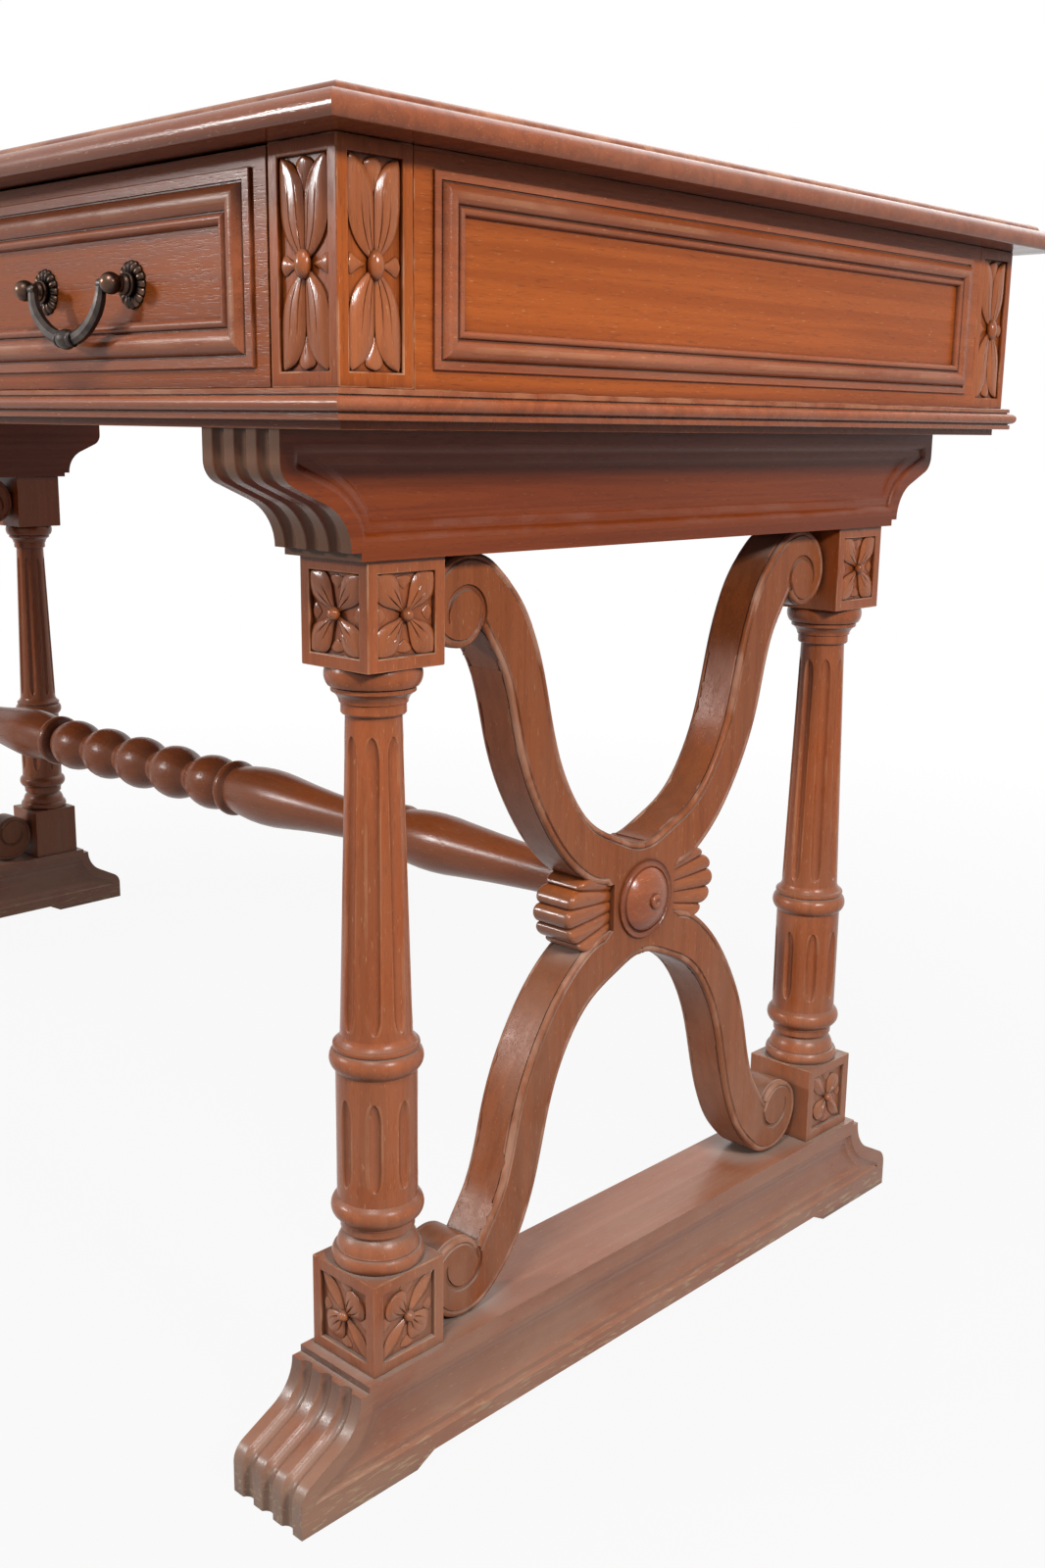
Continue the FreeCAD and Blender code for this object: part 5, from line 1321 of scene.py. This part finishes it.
@dataclass
class Trestle:
    """One end trestle: foot, bearer, two columns and the scroll X between them."""

    side: str
    body: str = "desk"
    trestle_x: float = TRESTLE_X
    column_y: float = 221.4
    block_half: float = 27.7
    panel_depth: float = 3.0
    block_z: tuple[float, float] = (102.15, 514.75)
    turning_z: tuple[float, float] = (131.3, 485.1)
    crossing_z: float = CROSSING_Z
    scroll_half_thickness: float = SCROLL_HALF
    rail_half: float = 31.5
    # Depth of the step round a rail's sunk panel, and the widths over which its lip and the field's edge slope.
    step_depth: float = 2.5
    lip_slope: float = 2.6
    field_slope: float = 5.0
    lip_mm: float = 2.3
    reed_mm: float = 2.6
    flutes_half: float = 28.0
    flutes_from: float = 240.0
    bead_mm: float = 5.0
    bore_mm: float = 14.0
    notch: tuple[float, float] = (32.0, 16.6)
    eye: tuple[float, float] = (165.6, 201.4)
    eye_radius: float = 14.4
    groove_mm: float = 1.9
    # Where the line round an eye begins and how far it turns, in degrees, and its lengths.
    groove_turn: tuple[float, float] = (216.0, -236.0)
    groove_steps: int = 36
    # Share of the line's width at its thin end, the angle from which it widens, and the turn that adds a full width.
    groove_taper: Triple = (0.25, -22.0, 70.0)
    # How far from the chord of a stretch below a point may lie to be moved.
    sweep_reach: float = 6.0
    # Stretches of the outline drawn again in one sweep: the beginning, the way there, the end and the way there.
    sweeps: tuple[Pairs, ...] = (
        ((110.82, 191.13), (0.414, 0.910), (140.66, 227.53), (0.772, 0.636)),
        ((131.79, 157.27), (0.320, 0.947), (144.58, 180.70), (0.575, 0.818)))
    # How far each of the nine lines across a bead stands out of a plain quarter round: two quirks and a full bead.
    bead_lines: tuple[float, ...] = (0.0, -1.0, 0.25, 0.75, 0.95, 0.75, 0.25, -1.0, 0.0)

    @property
    def sign(self) -> int:
        """1 at the desk's right end, -1 at its left."""
        return 1 if self.side == "right" else -1

    def build(self) -> None:
        """Builds the trestle's pieces."""
        for part, finish in (("foot", RAIL_WOOD), ("bearer", BEARER_WOOD_PAINTED_SHADE_AND_SHEEN)):
            self.shape_rail(part, finish)
        for end, way in (("front", -1), ("back", 1)):
            self.turn_column(end, way)
            self.carve_blocks(end, way)
            self.shape_scroll(end, way)

    def depth(self, vert: BMVert) -> float:
        """Gives how deep a point lies under the nearer side of a rail, in millimetres."""
        return self.rail_half - abs(abs(vert.co.x) / MM - self.trestle_x)

    def slope_walls(self, work: BMesh) -> None:
        """Slopes the upright walls of a rail's sunk panels, at the outer lip and round the field."""
        work.normal_update()
        moves = []
        for vert in work.verts:
            walls = [f for f in vert.link_faces if abs(f.normal.x) < 0.1]
            if not walls or abs(self.depth(vert) - self.step_depth) > 0.1:
                continue
            deepest = max(self.depth(v) for f in walls for v in f.verts)
            width = -self.field_slope if deepest > self.step_depth + 1 else self.lip_slope
            first = walls[0].normal
            last = min((f.normal for f in walls), key=first.dot)
            moves.append((vert, (first + last) * width / (1 + first.dot(last)) * MM))
        for vert, move in moves:
            vert.co += move
        work.normal_update()

    @staticmethod
    def is_lip(edge: BMEdge) -> bool:
        """Tells if an edge runs along a sunk panel, between a flat of a rail's side and a sloping wall."""
        return all(abs(face.normal.x) > 0.6 for face in edge.link_faces)

    def is_reed(self, edge: BMEdge) -> bool:
        """Tells if an edge runs between a flute of a rail's end and the reed beside it."""
        first, second = (v.co / MM for v in edge.verts)
        inside = abs(abs(first.x) - self.trestle_x) < self.flutes_half and abs(first.y) > self.flutes_from
        return inside and abs(first.x - second.x) < 0.2 and all(abs(f.normal.x) < 0.95 for f in edge.link_faces)

    def shape_rail(self, part: str, finish: StainedMahogany) -> None:
        """Makes the foot or the bearer: its sunk panels moulded, its reeds rounded and its arrises eased.

        Args:
            part: "foot" or "bearer".
            finish: The wood.
        """
        node = f"{self.side}_{part}"
        work = merged_copy(node)
        self.slope_walls(work)
        # The lips of the sunk panels get the pale wear mark. It stands partly for wear and partly as a painted sheen
        # along them, most of all on the bearers.
        ease_edges(work, self.lip_mm, 4, 12.0, self.is_lip, 0.35)
        ease_edges(work, self.reed_mm, 5, 25.0, self.is_reed, 0.15)
        ease_edges(work, 1.0)
        make_piece(work, node + "_dressed", self.body, finish.material(Grain.CROSSWISE), [node],
                   crease=50.0)

    def turn_column(self, end: str, way: int) -> None:
        """Makes one column: the solid's two blocks, and a finer fluted turning between them.

        Args:
            end: "front" or "back".
            way: -1 for the front column, 1 for the back one.
        """
        node = f"{self.side}_{end}_column"
        work = merged_copy(node)
        low, high = self.turning_z
        middle = [f for f in work.faces if low + 0.05 < f.calc_center_median().z / MM < high - 0.05]
        bmesh.ops.delete(work, geom=middle, context="FACES")
        close_holes(work)
        ease_edges(work, 0.8)
        place = Matrix.Translation(Vector((self.sign * self.trestle_x, way * self.column_y, low)) * MM)
        FlutedTurning(high - low).build(work, place)
        face_outwards(work)
        make_piece(work, node + "_turned", self.body, TURNED_WOOD.material(Grain.UPRIGHT), [node], 0.06)

    def carve_blocks(self, end: str, way: int) -> None:
        """Carves the flowers of one column's blocks.

        Args:
            end: "front" or "back".
            way: -1 for the front column, 1 for the back one.
        """
        work = bmesh.new()
        out = self.block_half - self.panel_depth
        for flower, height in ((LOWER_FLOWER, self.block_z[0]), (UPPER_FLOWER, self.block_z[1])):
            head = (self.sign * (self.trestle_x + out), way * self.column_y, height)
            flower.carve(work, face_frame(head, (0, way, 0), (self.sign, 0, 0)))
            face = (self.sign * self.trestle_x, way * (self.column_y + out), height)
            flower.carve(work, face_frame(face, (self.sign, 0, 0), (0, way, 0)))
        bmesh.ops.remove_doubles(work, verts=work.verts, dist=0.01 * MM)
        face_outwards(work)
        make_piece(work, f"{self.side}_{end}_block_flowers", self.body, CARVED_WOOD.material(Grain.UPRIGHT),
                   crease=CARVED_CREASE)

    def place_on_x(self, edge: BMEdge) -> tuple[float, float]:
        """Gives an edge's middle as distances aside and up or down from the crossing, in millimetres."""
        middle = (edge.verts[0].co + edge.verts[1].co) / 2 / MM
        return abs(middle.y), abs(middle.z - self.crossing_z)

    def is_arris(self, edge: BMEdge) -> bool:
        """Tells if an edge runs round a flat side of the scroll, away from the joint and the bores."""
        if len(edge.link_faces) != 2:
            return False
        aside, up = self.place_on_x(edge)
        tilts = sorted(abs(face.normal.x) for face in edge.link_faces)
        return tilts[0] < 0.3 and tilts[1] > 0.99 and aside > 0.05 and math.hypot(aside, up) > self.bore_mm

    def has_bead(self, edge: BMEdge) -> bool:
        """Tells if an arris carries the bead, which stops short of the shells."""
        aside, up = self.place_on_x(edge)
        in_notch = aside < self.notch[0] and up < self.notch[1]
        return self.is_arris(edge) and not in_notch

    def fair_outline(self, work: BMesh, way: int) -> None:
        """Takes the small bumps out of the scroll's outline, beside the crown and under the volute.

        Args:
            work: The scroll.
            way: -1 for the front half, 1 for the back one.
        """
        for start, leave, end, arrive in (tuple(Vector(p) for p in sweep) for sweep in self.sweeps):
            chord = end - start
            for vert in work.verts:
                up = vert.co.z / MM - self.crossing_z
                spot = Vector((abs(vert.co.y) / MM, abs(up))) - start
                t = spot.dot(chord) / chord.length_squared
                if 0 < t < 1 and (spot - chord * t).length < self.sweep_reach:
                    pull = leave * (t**3 - 2 * t**2 + t) + arrive * (t**3 - t**2)
                    new = start + chord * (3 * t**2 - 2 * t**3) + pull * chord.length
                    vert.co.y = way * new.x * MM
                    vert.co.z = (self.crossing_z + math.copysign(new.y, up)) * MM

    def scroll_half(self, node: str, way: int) -> BMesh:
        """Shapes one half of the scroll X: beads along its arrises and a cut line round each volute's eye.

        Args:
            node: The solid's node.
            way: -1 for the front half, 1 for the back one.

        Returns:
            The shaped half.
        """
        work = merged_copy(node)
        self.fair_outline(work, way)
        arris = face_layer(work, "arris")
        beads = [e for e in work.edges if self.has_bead(e)]
        steps = len(self.bead_lines) - 1
        made = bmesh.ops.bevel(work, geom=beads, offset=self.bead_mm * MM, segments=steps, profile=0.5,
                               affect="EDGES", material=-1, clamp_overlap=False)
        work.normal_update()
        moves = []
        for vert in {v for f in made["faces"] for v in f.verts}:
            depth = self.scroll_half_thickness - abs(abs(vert.co.x) / MM - self.trestle_x)
            turn = math.degrees(math.acos(min(1.0, max(0.0, 1 - depth / self.bead_mm))))
            moves.append((vert, vert.normal.copy() * self.bead_lines[round(turn * steps / 90)] * MM))
        for vert, move in moves:
            vert.co += move
        for face in made["faces"]:
            face[arris] = 0.8
        return self.cut_eyes(work, way)

    def shape_scroll(self, end: str, way: int) -> None:
        """Places one half of the scroll X: the left front half, mirrored to where this one stands.

        Args:
            end: "front" or "back".
            way: -1 for the front half, 1 for the back one.
        """
        node = f"{self.side}_{end}_scroll"
        work = Trestle("left").scroll_half("left_front_scroll", -1)
        bmesh.ops.transform(work, matrix=Matrix.Diagonal((-self.sign, -way, 1, 1)), verts=work.verts)
        if self.sign != way:
            bmesh.ops.reverse_faces(work, faces=work.faces)
        make_piece(work, node + "_shaped", self.body, SCROLL_WOOD.material(Grain.UPRIGHT), [node],
                   0.03 * way - 0.06)

    def cut_eyes(self, work: BMesh, way: int) -> BMesh:
        """Cuts the curled line round the eye of both volutes, on both sides of the scroll.

        Args:
            work: The scroll; it is used up.
            way: -1 for the front half, 1 for the back one.

        Returns:
            The scroll with its lines cut.
        """
        cutter = bmesh.new()
        start, sweep = (math.radians(angle) for angle in self.groove_turn)
        thinnest, widens_from, widens_over = self.groove_taper
        for up in (1, -1):
            for face in (1, -1):
                x = self.sign * self.trestle_x + face * self.scroll_half_thickness
                centre = Vector((x, way * self.eye[0], self.crossing_z + up * self.eye[1])) * MM
                first = Vector((0, way * math.cos(start), up * math.sin(start)))
                ring = bmesh.ops.create_circle(cutter, segments=8, radius=self.groove_mm * MM)["verts"]
                stand = Matrix((Vector((1, 0, 0)), first, Vector((1, 0, 0)).cross(first))).transposed().to_4x4()
                bmesh.ops.transform(cutter, matrix=Matrix.Translation(centre + first * self.eye_radius * MM) @ stand,
                                    verts=ring)
                loop = list({e for v in ring for e in v.link_edges})
                bmesh.ops.spin(cutter, geom=ring + loop, cent=centre, axis=(way * up, 0, 0), angle=sweep,
                               steps=self.groove_steps, use_merge=False)
        close_holes(cutter)
        for vert in cutter.verts:
            aside = abs(vert.co.y) / MM - self.eye[0]
            up = abs(vert.co.z / MM - self.crossing_z) - self.eye[1]
            angle = (math.degrees(math.atan2(up, aside)) + 90) % 360 - 90
            thin = min(1.0, thinnest + max(0.0, angle - widens_from) / widens_over)
            line = Vector((aside, up)).normalized() * self.eye_radius
            new = line + (Vector((aside, up)) - line) * thin
            side = 1 if vert.co.z / MM > self.crossing_z else -1
            vert.co.y = way * (self.eye[0] + new.x) * MM
            vert.co.z = (self.crossing_z + side * (self.eye[1] + new.y)) * MM
            flat = self.sign * self.trestle_x + math.copysign(
                self.scroll_half_thickness, vert.co.x / MM - self.sign * self.trestle_x)
            vert.co.x = (flat + (vert.co.x / MM - flat) * thin) * MM
        bmesh.ops.remove_doubles(cutter, verts=cutter.verts, dist=0.001 * MM)
        face_outwards(cutter)
        return cut_away(work, cutter)


@dataclass(frozen=True)
class ReededShell:
    """A shell at the crossing: five round reeds that fan out over both faces and wrap round the thick rim."""

    lobes: int = 5
    lobe_angle: float = 7.9
    fan_setback: float = 20.0
    reach: float = 76.0
    fall: float = 3.0
    valley: float = 4.5
    half_thickness: float = SCROLL_HALF
    notch: float = 30.6
    sunk: float = 3.4
    corner: float = 3.6
    steps_across: int = 12

    def section(self, spread: float) -> list[tuple[float, float]]:
        """Draws the line over the shell at one angle, from the front notch over the rim to the back notch.

        Args:
            spread: Angle from the shell's middle, counted in reeds.

        Returns:
            Distance from the fan's centre and place through the thickness, in millimetres.
        """
        angle = math.radians(self.lobe_angle * spread)
        phase = 2 * (spread + self.lobes / 2 - math.floor(min(spread + self.lobes / 2, self.lobes - 1e-6))) - 1
        round_drop = 1 - math.sqrt(max(0.0, 1 - 0.97 * phase**2))
        rim = self.fan_setback + self.reach - self.fall * spread**2 - self.valley * round_drop
        root = (self.fan_setback + self.notch) / math.cos(angle)
        line = []
        for number in range(11):
            share = number / 10
            reed = (1.5 + 1.9 * share) * round_drop
            line.append((root + (rim - self.corner - root) * share,
                         self.half_thickness - self.sunk * (1 - share) ** 1.3 - reed))
        for number in range(1, 6):
            turn = math.radians(18 * number)
            reed = 3.4 * round_drop * math.cos(turn)
            line.append((rim - self.corner + self.corner * math.sin(turn),
                         self.half_thickness - self.corner + self.corner * math.cos(turn) - reed))
        line.append((rim, self.half_thickness * 0.35))
        return line + [(r, -x) for r, x in reversed(line)]

    def build(self, work: BMesh, centre: Triple, way: int) -> None:
        """Adds the shell to a mesh.

        Args:
            work: The mesh.
            centre: The crossing's middle, in millimetres.
            way: -1 for the front shell, 1 for the back one.
        """
        across = self.lobes * self.steps_across
        count = len(self.section(0.0))
        verts = bmesh.ops.create_grid(work, x_segments=across, y_segments=count - 1, size=0.5)["verts"]
        lines = [self.section(self.lobes * (k / across - 0.5)) for k in range(across + 1)]
        for vert in verts:
            column, row = round((vert.co.x + 0.5) * across), round((vert.co.y + 0.5) * (count - 1))
            reach, through = lines[column][row]
            angle = math.radians(self.lobe_angle * self.lobes * (column / across - 0.5))
            vert.co = Vector((centre[0] + through, way * (reach * math.cos(angle) - self.fan_setback),
                              centre[2] + reach * math.sin(angle))) * MM
        bmesh.ops.holes_fill(work, edges=[e for e in {e for v in verts for e in v.link_edges}
                                          if len(e.link_faces) == 1])


@dataclass
class CrossingsAndStretcher:
    """The turned stretcher, and the shells and bosses where it meets the scroll Xs."""

    body: str = "desk"
    trestle_x: float = TRESTLE_X
    outer_face_x: float = TRESTLE_X + SCROLL_HALF
    crossing_z: float = CROSSING_Z

    def build(self) -> None:
        """Builds these pieces."""
        dress_board("stretcher", self.body, TURNED_WOOD, Grain.LENGTHWISE, 0.3, -0.12)
        self.turn_bosses()
        self.carve_shells()
        for node in ("stretcher_screws", "bearer_screws"):
            paint_node(node, SCREW_STEEL.material())

    def turn_bosses(self) -> None:
        """Turns the roundel on each crossing's outer face."""
        line = [(0.0, -0.3), (26.5, -0.3), (26.5, 1.4)]
        line += arc_points((26.4, 1.8), (24.2, 4.9), (21.9, 2.6), 9)
        line += [(21.5, 1.9)] + arc_points((21.2, 2.5), (13.4, 7.3), (5.6, 8.9), 12)
        line += [(5.0, 8.8)] + arc_points((4.9, 9.2), (3.2, 11.6), (1.6, 10.7), 7) + [(0.8, 10.2), (0.0, 10.1)]
        work = bmesh.new()
        for sign in (1, -1):
            boss = turned(work, line, 72)
            out = face_frame((sign * self.outer_face_x, 0.0, self.crossing_z), (0, sign, 0), (sign, 0, 0))
            bmesh.ops.transform(work, matrix=out, verts=boss)
        face_outwards(work)
        make_piece(work, "crossing_bosses_turned", self.body, BOSS_WOOD.material(Grain.CROSSWISE),
                   ["crossing_bosses"])

    def carve_shells(self) -> None:
        """Carves the two shells of each crossing."""
        work = bmesh.new()
        for sign in (1, -1):
            for way in (1, -1):
                ReededShell().build(work, (sign * self.trestle_x, 0.0, self.crossing_z), way)
        face_outwards(work)
        make_piece(work, "crossing_shells_reeded", self.body, CARVED_WOOD.material(Grain.CROSSWISE),
                   ["crossing_shells"], crease=CARVED_CREASE)


@dataclass
class SoftLamp:
    """A large square lamp that points at the desk."""

    name: str
    place: Triple
    side: float
    power: float
    aim: Triple = (0.0, 0.0, 0.4)

    def build(self) -> None:
        """Hangs the lamp."""
        lamp = bpy.data.lights.new(self.name, "AREA")
        lamp.size = self.side
        lamp.energy = self.power
        holder = bpy.data.objects.new(self.name, lamp)
        direction = Vector(self.aim) - Vector(self.place)
        turn = direction.to_track_quat("-Z", "Y").to_matrix().to_4x4()
        holder.matrix_world = Matrix.Translation(self.place) @ turn
        bpy.context.scene.collection.objects.link(holder)


@dataclass
class Studio:
    """The camera, the soft lamps, the pale floor and the white surround."""

    camera_place: Triple = (1.2264, -0.7895, 0.6141)
    yaw: float = 43.497
    pitch: float = 12.755
    roll: float = -0.75
    focal_pixels: float = 1623.0
    image_height: float = 1600.0
    sensor_mm: float = 36.0
    floor_half: float = 12.0
    surround_light: float = 0.10
    floor_grey: float = 0.24
    lamps: tuple[SoftLamp, ...] = (
        SoftLamp("right lamp", (2.2, -0.35, 1.4), 0.28, 27.0, (0.6, 0.0, 0.45)),
        SoftLamp("left lamp", (-1.25, -1.95, 1.3), 0.26, 30.0, (0.4, -0.3, 0.45)),
        SoftLamp("top lamp", (1.25, -1.35, 2.2), 0.5, 25.0, (0.5, -0.1, 0.4)),
        SoftLamp("back lamp", (-0.2, 2.6, 2.3), 2.5, 28.0, (-0.1, 0.2, 0.5)),
    )

    def build(self) -> None:
        """Sets up the studio."""
        self.make_camera()
        for lamp in self.lamps:
            lamp.build()
        self.make_surround()
        self.make_floor()
        bpy.context.scene.view_settings.view_transform = "Standard"

    def make_camera(self) -> None:
        """Puts the camera where it stood for the picture."""
        yaw, pitch, roll = (math.radians(angle) for angle in (self.yaw, self.pitch, self.roll))
        ahead = Vector((-math.sin(yaw) * math.cos(pitch), math.cos(yaw) * math.cos(pitch), -math.sin(pitch)))
        level = Vector((math.cos(yaw), math.sin(yaw), 0))
        down = ahead.cross(level)
        right = math.cos(roll) * level + math.sin(roll) * down
        low = math.cos(roll) * down - math.sin(roll) * level
        lens = bpy.data.cameras.new("camera")
        lens.sensor_width = self.sensor_mm
        lens.lens = self.focal_pixels / self.image_height * self.sensor_mm
        lens.clip_start = 0.01
        lens.clip_end = 100.0
        camera = bpy.data.objects.new("camera", lens)
        turn = Matrix((right, -low, -ahead)).transposed().to_4x4()
        camera.matrix_world = Matrix.Translation(self.camera_place) @ turn
        bpy.context.scene.collection.objects.link(camera)
        bpy.context.scene.camera = camera

    @staticmethod
    def seen_share(tree: NodeTree) -> NodeSocket:
        """Gives 1 for rays that show a background: straight, mirrored or let through."""
        path = add_node(tree, "LightPath")
        first = add_node(tree, "Math", links={0: path.outputs["Is Camera Ray"], 1: path.outputs["Is Glossy Ray"]},
                         operation="MAXIMUM")
        return add_node(tree, "Math", links={0: first.outputs[0], 1: path.outputs["Is Transmission Ray"]},
                        operation="MAXIMUM").outputs[0]

    def make_surround(self) -> None:
        """Makes the white surround, which lights the desk with less than it shows."""
        world = bpy.data.worlds.new("white surround")
        world.use_nodes = True
        tree = world.node_tree
        tree.nodes.clear()
        light = add_node(tree, "Background", {"Color": (1, 1, 1, 1), "Strength": self.surround_light})
        shown = add_node(tree, "Background", {"Color": (1, 1, 1, 1), "Strength": 1.0})
        both = add_node(tree, "MixShader", links={0: self.seen_share(tree), 1: light.outputs[0], 2: shown.outputs[0]})
        add_node(tree, "OutputWorld", links={"Surface": both.outputs[0]})
        bpy.context.scene.world = world

    def make_floor(self) -> None:
        """Lays a pale floor that keeps a faint shadow near the desk and goes white further off."""
        work = bmesh.new()
        bmesh.ops.create_grid(work, x_segments=1, y_segments=1, size=self.floor_half)
        mesh = bpy.data.meshes.new("floor")
        work.to_mesh(mesh)
        work.free()
        material = fresh_material("matt white studio floor")
        tree = material.node_tree
        place = add_node(tree, "TexCoord").outputs["Object"]
        distance = add_node(tree, "VectorMath", links={0: place}, operation="LENGTH").outputs["Value"]
        white = add_node(tree, "MapRange", {1: 0.7, 2: 1.9, 3: 0.93, 4: 1.0}, {0: distance}).outputs[0]
        share = add_node(tree, "Math", links={0: white, 1: self.seen_share(tree)}, operation="MULTIPLY").outputs[0]
        matt = add_node(tree, "BsdfDiffuse", {"Color": (self.floor_grey, self.floor_grey, self.floor_grey, 1)})
        glow = add_node(tree, "Emission", {"Color": (1, 1, 1, 1), "Strength": 1.0})
        both = add_node(tree, "MixShader", links={0: share, 1: matt.outputs[0], 2: glow.outputs[0]})
        add_node(tree, "OutputMaterial", links={"Surface": both.outputs[0]})
        mesh.materials.append(material)
        floor = bpy.data.objects.new("floor", mesh)
        bpy.context.scene.collection.objects.link(floor)


def main() -> None:
    """Builds the desk around its solids, and the studio around the desk."""
    logging.basicConfig(level=logging.INFO, format="%(name)s %(message)s")
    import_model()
    Studio().build()
    DrawerCase().build()
    for face in ("front", "back"):
        for part in ("left", "centre", "right"):
            Drawer(f"{face}_{part}").build()
    for side in ("right", "left"):
        Trestle(side).build()
    CrossingsAndStretcher().build()


if __name__ == "__main__":
    main()
